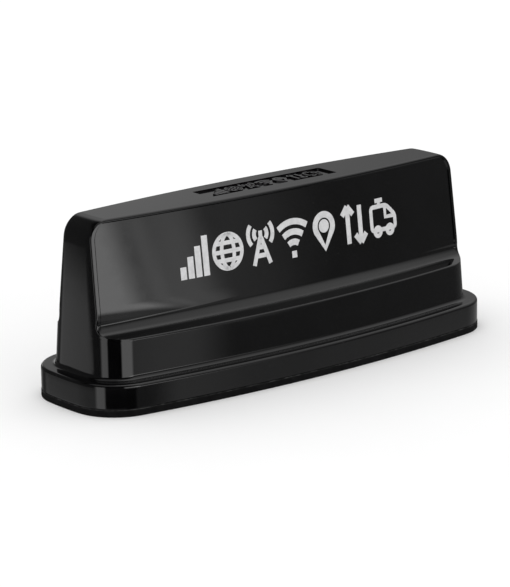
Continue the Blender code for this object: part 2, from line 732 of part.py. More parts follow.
# ---- screws, inserts and vent --------------------------------------------------------------------
def make_radome_screws(collection, material):
    """Countersunk screws from below through the base into the radome's bosses."""
    head, shank = SCREW_HEAD_D / 2, SCREW_D / 2
    length = FLOOR_T + SCREW_BITE
    profile = [(0.0, length), (shank - SCREW_TIP, length), (shank, length - SCREW_TIP),
               (shank, SCREW_HEAD_H), (head, SCREW_HEAD_RIM), (head, 0.0), (0.0, 0.0)]
    for i, (x, y) in enumerate(screw_places(), 1):
        turned(f"radome_screw_{i}", profile, collection, material, (x, y, FLOOR_Z + SCREW_SUNK))


def make_plate_screws(collection, material):
    """Pan-head screws that hold the ground plate on its pillars."""
    head, shank = PILLAR_HEAD_D / 2, SCREW_D / 2
    profile = [(0.0, PILLAR_HEAD_H), (head - PILLAR_HEAD_R, PILLAR_HEAD_H),
               (head, PILLAR_HEAD_H - PILLAR_HEAD_R),
               (head, 0.0), (shank, 0.0), (shank, -PILLAR_SCREW_L), (0.0, -PILLAR_SCREW_L)]
    for i, (x, y) in enumerate(pillar_places(), 1):
        turned(f"ground_plate_screw_{i}", profile, collection, material, (x, y, PLATE_TOP + GAP))


def make_inserts(collection, material):
    """Threaded inserts, flush with the underside of the casting."""
    for i, (x, y) in enumerate(insert_places(), 1):
        loops = [circle_ring(x, y, INSERT_D, 16), circle_ring(x, y, INSERT_BORE_D)]
        mesh = plate_mesh(f"roof_insert_{i}", loops, FLOOR_Z, FLOOR_Z + INSERT_L)
        add_object(f"roof_insert_{i}", mesh, collection, material)


def make_vent(collection, material):
    """Pressure vent in the bay's roof."""
    head, stem = VENT_HEAD_D / 2, VENT_STEM_D / 2
    under = BAY_ROOF_TOP - BAY_ROOF_T - GAP
    profile = [(0.0, BAY_ROOF_TOP), (stem, BAY_ROOF_TOP), (stem, under), (head, under),
               (head, under - VENT_HEAD_H + VENT_HEAD_R), (head - VENT_HEAD_R, under - VENT_HEAD_H),
               (0.0, under - VENT_HEAD_H)]
    turned("vent_plug", profile, collection, material, (0.0, VENT_Y, 0.0))


# ---- jacks and leads -----------------------------------------------------------------------------
def make_jacks(collection, jack_material, nut_material):
    """Bulkhead jacks through the bay's roof, each with its nut below."""
    seat = BAY_ROOF_TOP + GAP
    thread, flange, tail = JACK_THREAD_D / 2, JACK_FLANGE_D / 2, JACK_TAIL_D / 2
    socket, pin = JACK_SOCKET_D / 2, JACK_PIN_D / 2
    deep = JACK_END_Z + JACK_SOCKET_L
    pin_end = JACK_END_Z + JACK_PIN_SUNK
    profile = [(0.0, JACK_TOP), (tail, JACK_TOP), (tail, seat + JACK_FLANGE_H),
               (flange, seat + JACK_FLANGE_H), (flange, seat), (thread, seat),
               (thread, JACK_END_Z), (socket, JACK_END_Z), (socket, deep), (pin, deep),
               (pin, pin_end), (0.0, pin_end)]
    nut_top = BAY_ROOF_TOP - BAY_ROOF_T - GAP
    corner_d = JACK_NUT_AF / math.cos(math.pi / 6)
    for i, x in enumerate(jack_places(), 1):
        turned(f"antenna_jack_{i}", profile, collection, jack_material, (x, 0.0, 0.0))
        loops = [circle_ring(x, 0.0, corner_d, 6), circle_ring(x, 0.0, JACK_BORE_D)]
        mesh = plate_mesh(f"jack_nut_{i}", loops, nut_top - JACK_NUT_H, nut_top)
        add_object(f"jack_nut_{i}", mesh, collection, nut_material)


def smooth_route(points, steps):
    """Points along a smooth curve through the given ones."""
    route = []
    ends = [points[0] * 2 - points[1], *points, points[-1] * 2 - points[-2]]
    for a, b, c, d in zip(ends, ends[1:], ends[2:], ends[3:]):
        for i in range(steps):
            t = i / steps
            blend = b * 2 + (c - a) * t + (a * 2 - b * 5 + c * 4 - d) * t ** 2
            route.append((blend + (b * 3 - a - c * 3 + d) * t ** 3) / 2)
    return route + [points[-1]]


def make_lead(name, points, collection, material):
    """Coaxial lead: a round tube along a smooth route."""
    curve = bpy.data.curves.new(name, "CURVE")
    curve.dimensions = "3D"
    curve.bevel_depth = LEAD_D / 2
    curve.bevel_resolution = 2
    curve.use_fill_caps = True
    route = smooth_route([Vector(p) for p in points], 3)
    spline = curve.splines.new("POLY")
    spline.points.add(len(route) - 1)
    for point, place in zip(spline.points, route):
        point.co = (*place, 1.0)
    holder = bpy.data.objects.new(name + "_curve", curve)
    bpy.context.scene.collection.objects.link(holder)
    add_object(name, curve_to_mesh(name, holder), collection, material)


def cell_lead_route(side):
    """From an outer jack up and along the face of a cellular board."""
    x = side * jack_places()[-1]
    y = side * (CELL_BOARD_T / 2 + LEAD_OFF_BOARD)
    start = side * CELL_BOARD_START
    z = LEAD_START_Z
    return [(x, 0.0, z), (x, 0.0, z + 2.0 * MM), (x + side * 0.8 * MM, y * 0.3, z + 4.0 * MM),
            (x + side * 3.2 * MM, y * 0.8, z + 5.6 * MM), (start - side * MM, y, z + 6.1 * MM),
            (start + side * 3.0 * MM, y, z + 6.2 * MM), (start + side * 7.0 * MM, y, z + 6.2 * MM)]


def wifi_lead_route(side):
    """From an inner jack up and over to the face of a Wi-Fi board."""
    x = side * jack_places()[-2]
    face = side * (WIFI_BOARD_X - WIFI_BOARD_T / 2 - GAP)
    z = LEAD_START_Z
    return [(x, 0.0, z), (x, 0.0, z + 1.8 * MM), (x + side * 0.5 * MM, 0.0, z + 3.2 * MM),
            (x + side * 1.8 * MM, 0.0, z + 4.5 * MM), (x + side * 3.4 * MM, 0.0, z + 5.0 * MM),
            (face, 0.0, z + 5.1 * MM)]


def gnss_lead_route():
    """From the middle jack up to the underside of the positioning board."""
    z = LEAD_START_Z
    return [(0.0, 0.0, z), (0.0, 0.3 * MM, z + 1.6 * MM), (1.4 * MM, 2.6 * MM, z + 3.2 * MM),
            (4.0 * MM, 5.6 * MM, z + 4.6 * MM), (5.2 * MM, 7.0 * MM, z + 6.0 * MM),
            (5.4 * MM, 7.2 * MM, GNSS_BOARD_Z - GAP)]


def make_leads(collection, material):
    """Five leads, one from each jack."""
    make_lead("coax_lead_1", cell_lead_route(-1), collection, material)
    make_lead("coax_lead_2", wifi_lead_route(-1), collection, material)
    make_lead("coax_lead_3", gnss_lead_route(), collection, material)
    make_lead("coax_lead_4", wifi_lead_route(1), collection, material)
    make_lead("coax_lead_5", cell_lead_route(1), collection, material)


# ---- ground plate, boards and holders ------------------------------------------------------------
def cell_holder_places():
    """X of each holder under the cellular boards."""
    return [side * x for side in (-1, 1) for x in CELL_HOLDER_X]


def make_ground_plate(collection, material):
    """Sheet ground plate on the bay's roof and the pillars."""
    sheet = plate_mesh("ground_plate", [flange_ring(PLATE_INSET)], PLATE_Z, PLATE_TOP)
    plate = add_object("ground_plate", sheet, collection, material)
    low, high = PLATE_Z - PAST, PLATE_TOP + PAST
    window_ring = box_ring(PLATE_WINDOW_L, PLATE_WINDOW_W, PLATE_WINDOW_R)
    holes = [plate_mesh("window", [window_ring], low, high)]
    holes += [cylinder_mesh("hole", x, y, low, high, SCREW_D + 2 * GAP) for x, y in pillar_places()]
    pegs = [(x, 0.0) for x in cell_holder_places()]
    pegs += mirrored_places((WIFI_BOARD_X,), lambda x: WIFI_PEG_Y)
    holes += [cylinder_mesh("hole", x, y, low, high, PEG_D + 2 * GAP) for x, y in pegs]
    boolean(plate, joined("holes", holes), "DIFFERENCE")
    return plate


def holder(name, size, slot_axis, slot_t, x, pegs, collection, material):
    """Moulded block with a slot for a board's lower edge and pegs into the ground plate."""
    centre = (x, 0.0, HOLDER_Z + size[2] / 2)
    block = add_object(name, box_mesh(name, size, centre), collection, material)
    bevel = block.modifiers.new("rounded", "BEVEL")
    bevel.width = HOLDER_CHAMFER
    bevel.segments = 1
    slot_size = (2 * size[0], slot_t, size[2]) if slot_axis == "X" else (slot_t, 2 * size[1], size[2])
    slot_z = HOLDER_Z + HOLDER_FLOOR + size[2] / 2
    boolean(block, box_mesh("slot", slot_size, (x, 0.0, slot_z)), "DIFFERENCE")
    shapes = [cylinder_mesh("peg", px, py, PLATE_Z, HOLDER_Z + PAST, PEG_D) for px, py in pegs]
    boolean(block, joined("pegs", shapes), "UNION")


def make_holders(collection, material):
    """Holders of the upright boards."""
    slot = CELL_BOARD_T + 2 * GAP
    size = (CELL_HOLDER_L, slot + 2 * HOLDER_WALL, HOLDER_H)
    for i, x in enumerate(cell_holder_places(), 1):
        holder(f"cellular_board_holder_{i}", size, "X", slot, x, [(x, 0.0)], collection, material)
    slot = WIFI_BOARD_T + 2 * GAP
    size = (slot + 2 * WIFI_HOLDER_WALL, WIFI_HOLDER_W, WIFI_HOLDER_H)
    for i, side in enumerate((-1, 1), 1):
        x = side * WIFI_BOARD_X
        pegs = [(x, -WIFI_PEG_Y), (x, WIFI_PEG_Y)]
        holder(f"wifi_board_holder_{i}", size, "Y", slot, x, pegs, collection, material)


def upright(mesh, place):
    """Stand a flat sheet up: its Y becomes Z, its thickness runs along Y, then it is placed."""
    mesh.transform(Matrix.Translation(place) @ Matrix.Rotation(math.pi / 2, 4, "X"))
    return mesh


def make_cell_boards(collection, board_material, plate_material):
    """Upright cellular boards with a loading plate over each."""
    height = CELL_BOARD_TOP - BOARD_Z
    middle_z = (CELL_BOARD_TOP + BOARD_Z) / 2
    middle_x = CELL_BOARD_START + CELL_BOARD_L / 2
    for i, side in enumerate((-1, 1), 1):
        ring = box_ring(CELL_BOARD_L, height, CELL_BOARD_CORNER_R)
        mesh = plate_mesh(f"cellular_board_{i}", [ring], -CELL_BOARD_T / 2, CELL_BOARD_T / 2)
        upright(mesh, (side * middle_x, 0.0, middle_z))
        add_object(f"cellular_board_{i}", mesh, collection, board_material)
        low = CELL_BOARD_TOP + GAP
        top = plate_mesh(f"loading_plate_{i}",
                         [box_ring(LOAD_PLATE_L, LOAD_PLATE_W, SMALL_R, side * middle_x)],
                         low, low + LOAD_PLATE_T)
        add_object(f"loading_plate_{i}", top, collection, plate_material)


def make_wifi_boards(collection, material):
    """Upright Wi-Fi boards across the body."""
    height = WIFI_BOARD_TOP - BOARD_Z
    middle_z = (WIFI_BOARD_TOP + BOARD_Z) / 2
    for i, side in enumerate((-1, 1), 1):
        mesh = plate_mesh(f"wifi_board_{i}", [box_ring(WIFI_BOARD_W, height, SMALL_R)],
                          -WIFI_BOARD_T / 2, WIFI_BOARD_T / 2)
        upright(mesh, (0.0, 0.0, 0.0))
        mesh.transform(Matrix.Translation((side * WIFI_BOARD_X, 0.0, middle_z))
                       @ Matrix.Rotation(math.pi / 2, 4, "Z"))
        add_object(f"wifi_board_{i}", mesh, collection, material)


def make_gnss(collection, board_material, patch_material, can_material, post_material):
    """Positioning antenna: board on four posts, ceramic patch above, shield can below."""
    posts = mirrored_places((GNSS_POST_X,), lambda x: GNSS_POST_Y)
    top = GNSS_BOARD_Z + GNSS_BOARD_T
    sheet = plate_mesh("gnss_board", [box_ring(GNSS_BOARD_L, GNSS_BOARD_W, SMALL_R)],
                       GNSS_BOARD_Z, top)
    board = add_object("gnss_board", sheet, collection, board_material)
    low, high = GNSS_BOARD_Z - PAST, top + PAST
    holes = [cylinder_mesh("hole", x, y, low, high, GNSS_PEG_D + 2 * GAP) for x, y in posts]
    boolean(board, joined("holes", holes), "DIFFERENCE")
    patch = plate_mesh("gnss_patch", [box_ring(GNSS_PATCH_L, GNSS_PATCH_W, SMALL_R)],
                       top + GAP, top + GAP + GNSS_PATCH_T)
    add_object("gnss_patch", patch, collection, patch_material)
    can_ring = box_ring(GNSS_CAN_L, GNSS_CAN_W, SMALL_R, GNSS_CAN_X, GNSS_CAN_Y)
    can_top = GNSS_BOARD_Z - GAP
    can = plate_mesh("gnss_shield_can", [can_ring], can_top - GNSS_CAN_H, can_top)
    add_object("gnss_shield_can", can, collection, can_material)
    post, peg = GNSS_POST_D / 2, GNSS_PEG_D / 2
    profile = [(0.0, top), (peg, top), (peg, GNSS_BOARD_Z - GAP), (post, GNSS_BOARD_Z - GAP),
               (post, PLATE_TOP + GAP), (0.0, PLATE_TOP + GAP)]
    for i, (x, y) in enumerate(posts, 1):
        turned(f"gnss_post_{i}", profile, collection, post_material, (x, y, 0.0))


# ---- assembly ------------------------------------------------------------------------------------
clear_scene()
PARTS = new_collection("vehicle_roof_antenna")
CUTTERS = new_collection("cutters")

metal, bright, plastic = cast_metal(), steel(), holder_white()
boards, nickel = board_green(), tin_plate()

make_radome(PARTS, gloss_black())
make_base(PARTS, metal)
make_gasket(PARTS, foam_black())
make_seal(PARTS, seal_grey())
make_radome_screws(PARTS, bright)
make_plate_screws(PARTS, bright)
make_inserts(PARTS, brass())
make_vent(PARTS, vent_grey())
make_jacks(PARTS, gold_plate(), nickel)
make_leads(PARTS, lead_black())
make_ground_plate(PARTS, nickel)
make_holders(PARTS, plastic)
make_cell_boards(PARTS, boards, nickel)
make_wifi_boards(PARTS, boards)
make_gnss(PARTS, boards, ceramic(), nickel, plastic)
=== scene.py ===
"""Looks of a low radio antenna for a vehicle roof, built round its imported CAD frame.

Metres, +Z up, +X along the body; the panel at -Y faces the camera. Each sub-assembly is a class with
its sizes as fields, each finish is a frozen dataclass, and main() builds them in order.
"""
import json
import logging
import math
from collections.abc import Iterable, Sequence
from dataclasses import dataclass, field
from enum import Enum

import bmesh
import bpy
from mathutils import Matrix, Vector


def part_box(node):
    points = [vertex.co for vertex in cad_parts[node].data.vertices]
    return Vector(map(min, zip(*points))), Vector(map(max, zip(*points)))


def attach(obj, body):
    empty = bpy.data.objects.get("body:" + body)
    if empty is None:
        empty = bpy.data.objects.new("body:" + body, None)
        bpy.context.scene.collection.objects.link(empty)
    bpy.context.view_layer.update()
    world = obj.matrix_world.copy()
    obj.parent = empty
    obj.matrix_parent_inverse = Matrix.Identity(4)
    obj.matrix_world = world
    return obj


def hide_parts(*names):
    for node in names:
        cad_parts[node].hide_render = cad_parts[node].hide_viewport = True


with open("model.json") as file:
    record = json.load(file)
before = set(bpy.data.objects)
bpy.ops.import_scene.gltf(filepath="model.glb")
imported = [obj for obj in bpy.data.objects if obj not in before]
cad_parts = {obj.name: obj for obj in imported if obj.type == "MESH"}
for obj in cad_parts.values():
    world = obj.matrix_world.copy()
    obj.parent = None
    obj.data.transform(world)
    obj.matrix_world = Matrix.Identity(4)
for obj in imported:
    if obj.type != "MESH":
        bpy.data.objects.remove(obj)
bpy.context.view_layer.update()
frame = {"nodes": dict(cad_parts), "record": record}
LOG = logging.getLogger("roof_antenna")
MM = 0.001
BODY = "root"

QUARTER = math.pi / 2
HARD_EDGE = math.radians(40.0)
HARD_EDGE_SMALL = math.radians(35.0)
WELD = 1e-7

Object = bpy.types.Object
Mesh = bpy.types.Mesh
Node = bpy.types.Node
Socket = bpy.types.NodeSocket
Sockets = bpy.types.bpy_prop_collection
Tree = bpy.types.NodeTree
Ring = list[Vector]
Section = tuple[Ring, float]
Line = list[tuple[float, float]]
Colour = tuple[float, float, float]


# ---- meshes ----
def mesh_object(name: str, mesh: Mesh) -> Object:
    """Link a new object for a mesh.

    Args:
        name: Object name.
        mesh: Its mesh, with its place in its vertices.

    Returns:
        The object, at the origin.
    """
    obj = bpy.data.objects.new(name, mesh)
    bpy.context.scene.collection.objects.link(obj)
    return obj


def skin(name: str, rings: Sequence[Section]) -> Mesh:
    """Closed smooth skin through plan rings.

    Args:
        name: Mesh name.
        rings: (points, height) of each ring; every ring has the same number of points.

    Returns:
        The mesh, with its faces pointing outwards.
    """
    bm = bmesh.new()
    loops = [[bm.verts.new((p.x, p.y, z)) for p in ring] for ring, z in rings]
    count = len(loops[0])
    for low, high in zip(loops, loops[1:]):
        for i in range(count):
            j = (i + 1) % count
            bm.faces.new((low[i], low[j], high[j], high[i]))
    bm.faces.new(loops[0])
    bm.faces.new(loops[-1])
    bmesh.ops.recalc_face_normals(bm, faces=bm.faces)
    mesh = bpy.data.meshes.new(name)
    bm.to_mesh(mesh)
    bm.free()
    mesh.shade_smooth()
    return mesh


def settled(obj: Object, name: str) -> Object:
    """Plain mesh object from an object's evaluated state; the first object is removed.

    Args:
        obj: Object with live modifiers.
        name: Name of the result.

    Returns:
        A new object with no modifiers.
    """
    graph = bpy.context.evaluated_depsgraph_get()
    graph.update()
    mesh = bpy.data.meshes.new_from_object(obj.evaluated_get(graph), depsgraph=graph)
    mesh.name = name
    old = obj.data
    bpy.data.objects.remove(obj, do_unlink=True)
    bpy.data.meshes.remove(old)
    return mesh_object(name, mesh)


def cut(obj: Object, tool: Mesh) -> Object:
    """Cut a closed mesh out of an object.

    Args:
        obj: Object to change.
        tool: What is cut out; it is left without a user.

    Returns:
        The changed object.
    """
    name = obj.name
    other = mesh_object(name + "_tool", tool)
    modifier = obj.modifiers.new("cut", "BOOLEAN")
    modifier.operation = "DIFFERENCE"
    modifier.object = other
    result = settled(obj, name)
    bpy.data.objects.remove(other, do_unlink=True)
    return result


def weighted(obj: Object) -> Object:
    """Smooth shading that keeps flat faces flat, with hard edges past an angle.

    Args:
        obj: Object to shade.

    Returns:
        The shaded object.
    """
    obj.data.shade_smooth()
    obj.data.set_sharp_from_angle(angle=HARD_EDGE)
    modifier = obj.modifiers.new("flat faces first", "WEIGHTED_NORMAL")
    modifier.keep_sharp = True
    return settled(obj, obj.name)


# ---- plan outlines ----
def spaced(start: float, end: float, steps: int) -> list[float]:
    """Evenly spaced values from start to end, both included."""
    return [start + (end - start) * i / steps for i in range(steps + 1)]


def limited(value: float) -> float:
    """Value kept between 0 and 1."""
    return min(max(value, 0.0), 1.0)


def on_circle(centre: Vector, radius: float, angle: float) -> Vector:
    """Point on a circle at an angle."""
    return centre + Vector((math.cos(angle), math.sin(angle))) * radius


def arc_span(centre: Vector, start: Vector, end: Vector) -> tuple[float, float]:
    """Angle of a point about a centre, and the shorter turn from it to another.

    Args:
        centre: Centre of the arc.
        start: Point in the direction of the first angle.
        end: Point in the direction of the last one.

    Returns:
        (angle, turn), the turn with its sign.
    """
    first = math.atan2(start.y - centre.y, start.x - centre.x)
    last = math.atan2(end.y - centre.y, end.x - centre.x)
    return first, (last - first + math.pi) % (2 * math.pi) - math.pi


def bow_radius(half_chord: float, bow: float) -> float:
    """Radius of an arc that rises by bow over the half chord."""
    return (half_chord ** 2 + bow ** 2) / (2 * bow)


def circle_meeting(c1: Vector, r1: float, c2: Vector, r2: float) -> Vector:
    """Point r1 from c1 and r2 from c2, the one further towards -X and -Y.

    Args:
        c1: First centre.
        r1: Distance from it.
        c2: Second centre.
        r2: Distance from it.

    Returns:
        The meeting point.
    """
    line = c2 - c1
    along = (line.length ** 2 + r1 ** 2 - r2 ** 2) / (2 * line.length)
    across = math.sqrt(max(r1 ** 2 - along ** 2, 0.0))
    unit = line.normalized()
    foot = c1 + unit * along
    side = Vector((-unit.y, unit.x)) * across
    return min((foot + side, foot - side), key=lambda p: p.x + p.y)


def arc_points(centre: Vector, radius: float, start: Vector, end: Vector, steps: int) -> Ring:
    """Points on a circle from the direction of start to that of end, the last one left out."""
    first, turn = arc_span(centre, start, end)
    return [on_circle(centre, radius, first + turn * i / steps) for i in range(steps)]


def rounded_box(length: float, width: float, radius: float, steps: int = 8) -> Ring:
    """Rounded rectangle about the origin.

    Args:
        length: Size along X.
        width: Size along Y.
        radius: Corner radius.
        steps: Points in each corner.

    Returns:
        Closed ring of points.
    """
    points = []
    for sx, sy, start in ((1, 1, 0), (-1, 1, 1), (-1, -1, 2), (1, -1, 3)):
        centre = Vector((sx * (length / 2 - radius), sy * (width / 2 - radius)))
        points += [on_circle(centre, radius, (start + i / steps) * QUARTER) for i in range(steps + 1)]
    return points


@dataclass(frozen=True)
class PlanSteps:
    """How many points each stretch of a plan outline has; an edge takes one part of corner_share."""

    side: int = 44
    edge: int = 7
    corner: int = 22
    end: int = 16
    corner_share: int = 8


@dataclass(frozen=True)
class SideCut:
    """Side cut through a plan outline: half width at the middle, plan radius, edge radius and sink."""

    half: float
    radius: float
    edge_r: float
    sink: float = 0.0


@dataclass(frozen=True)
class BowedPlan:
    """Plan of the body: bowed rectangle of two long, two short and four corner arcs, all tangent."""

    side_bow: float = 9.4 * MM
    end_bow: float = 3.8 * MM
    corner_r: float = 21.4 * MM
    rim: float = 1.1 * MM
    rim_slope: float = 0.5 * MM
    steps: PlanSteps = PlanSteps()

    def side_points(self, centre: Vector, radius: float, start: Vector, end: Vector,
                    sink: float) -> Ring:
        """Points along a long side, which may be sunk up to a narrow rim beside its end.

        Args:
            centre: Centre of the side's arc.
            radius: Its radius.
            start: Middle of the side.
            end: Where the side meets its edge.
            sink: How far the side lies inside its rim.

        Returns:
            The points in order, without the end.
        """
        first, turn = arc_span(centre, start, end)
        length = abs(turn) * radius
        sunk = turn * (length - self.rim - self.rim_slope) / length
        points = [on_circle(centre, radius - sink, first + sunk * i / self.steps.side)
                  for i in range(self.steps.side + 1)]
        return points + [on_circle(centre, radius, first + turn * (length - self.rim) / length)]

    def ring(self, half_l: float, half_w: float, inset: float = 0.0,
             side_cut: SideCut | None = None) -> Ring:
        """Closed ring of the outline moved in by inset, trimmed by a side cut if one is given.

        Args:
            half_l: Half length before the inset.
            half_w: Half width before the inset.
            inset: Distance that the outline is moved in.
            side_cut: Cut on both long sides.

        Returns:
            Points in order, the same number for every outline.
        """
        side_r = bow_radius(half_l, self.side_bow) - inset
        end_r = bow_radius(half_w, self.end_bow) - inset
        corner_r = self.corner_r - inset
        side_c = Vector((0.0, -half_w + inset + side_r))
        end_c = Vector((-half_l + inset + end_r, 0.0))
        corner_c = circle_meeting(side_c, side_r - corner_r, end_c, end_r - corner_r)
        end_join = end_c + (corner_c - end_c).normalized() * end_r
        sink = 0.0
        if side_cut is None:
            flat_c, flat_r = side_c, side_r
            side_join = side_c + (corner_c - side_c).normalized() * side_r
            edge_c, edge_r = corner_c, corner_r
            edge_end = arc_points(corner_c, corner_r, side_join, end_join, self.steps.corner_share)[1]
        else:
            flat_r, edge_r, sink = side_cut.radius, side_cut.edge_r, side_cut.sink
            flat_c = Vector((0.0, -side_cut.half + flat_r))
            edge_c = circle_meeting(flat_c, flat_r - edge_r, corner_c, corner_r - edge_r)
            edge_end = corner_c + (edge_c - corner_c).normalized() * corner_r
            if edge_end.y > end_join.y:
                edge_c = circle_meeting(flat_c, flat_r - edge_r, end_c, end_r - edge_r)
                edge_end = end_c + (edge_c - end_c).normalized() * end_r
                end_join = edge_end
            side_join = flat_c + (edge_c - flat_c).normalized() * flat_r
        middle = Vector((0.0, flat_c.y - flat_r))
        tip = Vector((end_c.x - end_r, 0.0))
        quarter = self.side_points(flat_c, flat_r, middle, side_join, sink)
        quarter += arc_points(edge_c, edge_r, side_join, edge_end, self.steps.edge)
        if end_join == edge_end:
            quarter += arc_points(end_c, end_r, edge_end, tip, self.steps.corner + self.steps.end)
        else:
            quarter += arc_points(corner_c, corner_r, edge_end, end_join, self.steps.corner)
            quarter += arc_points(end_c, end_r, end_join, tip, self.steps.end)
        return self.mirrored(quarter + [tip])

    @staticmethod
    def mirrored(quarter: Ring) -> Ring:
        """Whole ring from the quarter between the -Y axis and the -X axis."""
        left = quarter + [Vector((p.x, -p.y)) for p in reversed(quarter[:-1])]
        return left + [Vector((-p.x, p.y)) for p in reversed(left[1:-1])]


# ---- radome ----
@dataclass(frozen=True)
class SkinSteps:
    """How many sections each stretch of the radome's skin has, and where the level ones lie."""

    rim: int = 5
    side: int = 4
    edge: int = 10
    band: int = 6
    shoulder: int = 7
    sweep: int = 18
    panel: int = 12
    hollow: int = 4
    ledge_shares: tuple[float, ...] = (0.08, 0.5, 0.92)
    shoulder_shares: tuple[float, ...] = (0.1, 0.5, 0.9)
    top_shares: tuple[float, ...] = (0.004, 0.03)
    top_width_gain: float = 4.0


@dataclass
class Radome:
    """Polished one-piece radome: flanged foot, lower band, shoulder, bowed panels and flat top."""

    plan: BowedPlan = BowedPlan()
    steps: SkinSteps = SkinSteps()
    flange_half_l: float = 109.9 * MM
    flange_half_w: float = 36.6 * MM
    rim_z: float = 3.32 * MM
    rim_r: float = 0.35 * MM
    flange_top: float = 13.7 * MM
    flange_edge_r: float = 1.4 * MM
    flange_wall: float = 3.0 * MM
    ledge: float = 6.4 * MM
    foot_r: float = 1.9 * MM
    height: float = 79.0 * MM
    top_half_l: float = 100.8 * MM
    side_draft: float = 0.060
    shoulder_z: float = 30.9 * MM
    shoulder_rise: float = 0.7 * MM
    sweep_r: float = 6.6 * MM
    band_edge_r: float = 1.0 * MM
    panel_top_half: float = 14.25 * MM
    panel_draft: float = 0.122
    panel_bow: float = 5.75 * MM
    panel_edge_r: float = 1.0 * MM
    top_end_r: float = 8.5 * MM
    top_edge_r: float = 0.8 * MM
    wall: float = 2.8 * MM
    panel_sink: float = 0.45 * MM
    sink_share: float = 0.3
    top_rim: float = 1.05 * MM
    top_rim_slope: float = 0.5 * MM
    recess_l: float = 70.6 * MM
    recess_w: float = 12.6 * MM
    recess_depth: float = 0.8 * MM
    recess_r: float = 0.8 * MM
    past: float = 1.0 * MM

    def half_length(self, z: float) -> float:
        """Half length of the tower at a height."""
        foot = self.flange_half_l - self.ledge
        return foot + (self.top_half_l - foot) * (z - self.flange_top) / (self.height - self.flange_top)

    def band_half(self, z: float) -> float:
        """Half width of the lower band at the middle."""
        return self.flange_half_w - self.ledge - self.side_draft * (z - self.flange_top)

    def panel_half(self, z: float) -> float:
        """Half width between the panels at the middle."""
        return self.panel_top_half + self.panel_draft * (self.height - z)

    def cut_radius(self, z: float) -> float:
        """Plan radius of the side cut: the body's own bow at the shoulder, the panel's above it.

        Args:
            z: Height.

        Returns:
            Radius.
        """
        body = bow_radius(self.flange_half_l, self.plan.side_bow) - self.ledge
        panel = bow_radius(self.top_half_l, self.panel_bow)
        share = limited((z - self.shoulder_z) / (self.shoulder_rise + self.sweep_r))
        return 1 / ((1 - share) / body + share / panel)

    def sink(self, z: float) -> float:
        """How far the panel lies inside its rim: fades in over the sweep, ends below the top's edge.

        Args:
            z: Height.

        Returns:
            Depth below the rim.
        """
        fade = self.sink_share * self.sweep_r
        rise = limited((z - self.shoulder_z - self.shoulder_rise - fade) / fade)
        return self.panel_sink * rise * limited((self.height - self.top_rim - z) / self.top_rim_slope)

    def flange_ring(self, inset: float) -> Ring:
        """Outline of the flange, moved in by inset."""
        return self.plan.ring(self.flange_half_l, self.flange_half_w, inset)

    def tower_ring(self, z: float, inset: float = 0.0, end_in: float = 0.0,
                   cut_half: float | None = None) -> Ring:
        """Section of the tower at a height.

        Args:
            z: Height.
            inset: Distance inside the skin.
            end_in: Distance that the ends are drawn in, for the fillets onto the top.
            cut_half: Half width of the side cut, above the shoulder.

        Returns:
            Ring of points.
        """
        half_l = self.half_length(z) + self.ledge - end_in
        half_w = self.band_half(z) + self.ledge
        side_cut = None
        if cut_half is not None:
            sink = 0.0 if inset else self.sink(z)
            side_cut = SideCut(cut_half, self.cut_radius(z) - inset, self.panel_edge_r, sink)
        return self.plan.ring(half_l, half_w, self.ledge + inset, side_cut)

    def flange_rings(self) -> list[Section]:
        """Sections of the flange: rounded rim, upright side, rounded edge and flat ledge.

        Returns:
            The sections, from the rim inwards over the ledge.
        """
        rings = []
        for angle in spaced(0.0, QUARTER, self.steps.rim):
            inset = self.rim_r * (1 - math.sin(angle))
            rings.append((self.flange_ring(inset), self.rim_z + self.rim_r * (1 - math.cos(angle))))
        high = self.flange_top - self.flange_edge_r
        rings += [(self.flange_ring(0.0), z) for z in spaced(rings[-1][1], high, self.steps.side)[1:-1]]
        for angle in spaced(0.0, QUARTER, self.steps.edge):
            inset = self.flange_edge_r * (1 - math.cos(angle))
            rings.append((self.flange_ring(inset), high + self.flange_edge_r * math.sin(angle)))
        start, end = self.flange_edge_r, self.ledge - self.foot_r
        return rings + [(self.flange_ring(start + (end - start) * share), self.flange_top)
                        for share in self.steps.ledge_shares]

    def band_rings(self) -> list[Section]:
        """Sections of the foot fillet and of the lower band, up to its rounded edge.

        Returns:
            The sections, upwards.
        """
        rings = []
        for angle in spaced(0.0, QUARTER, self.steps.edge):
            z = self.flange_top + self.foot_r * (1 - math.cos(angle))
            rings.append((self.tower_ring(z, -self.foot_r * (1 - math.sin(angle))), z))
        heights = spaced(rings[-1][1], self.shoulder_z - self.band_edge_r, self.steps.band)
        return rings + [(self.tower_ring(z), z) for z in heights[1:]]

    def side_profile(self) -> list[tuple[float, float]]:
        """(Half width, height) from the band's edge over the shoulder and up the sweep.

        Returns:
            The points, upwards.
        """
        lean = math.atan(self.panel_draft)
        flat = self.band_half(self.shoulder_z) - self.band_edge_r - self.sweep_centre()[0]
        slope = math.atan2(self.shoulder_rise, flat)
        points = []
        for angle in spaced(0.0, QUARTER - slope, self.steps.shoulder)[1:]:
            y = self.band_half(self.shoulder_z) - self.band_edge_r * (1 - math.cos(angle))
            points.append((y, self.shoulder_z - self.band_edge_r * (1 - math.sin(angle))))
        y0, z0 = points[-1]
        y1, z1 = self.on_sweep(QUARTER - slope)
        points += [(y0 + (y1 - y0) * s, z0 + (z1 - z0) * s) for s in self.steps.shoulder_shares]
        return points + [self.on_sweep(angle) for angle in spaced(QUARTER - slope, lean, self.steps.sweep)]

    def sweep_centre(self) -> tuple[float, float]:
        """(Half width, height) of the centre of the hollow sweep.

        Returns:
            The centre.
        """
        centre_z = self.shoulder_z + self.shoulder_rise + self.sweep_r
        lean = math.atan(self.panel_draft)
        return self.panel_half(centre_z) + self.sweep_r / math.cos(lean), centre_z

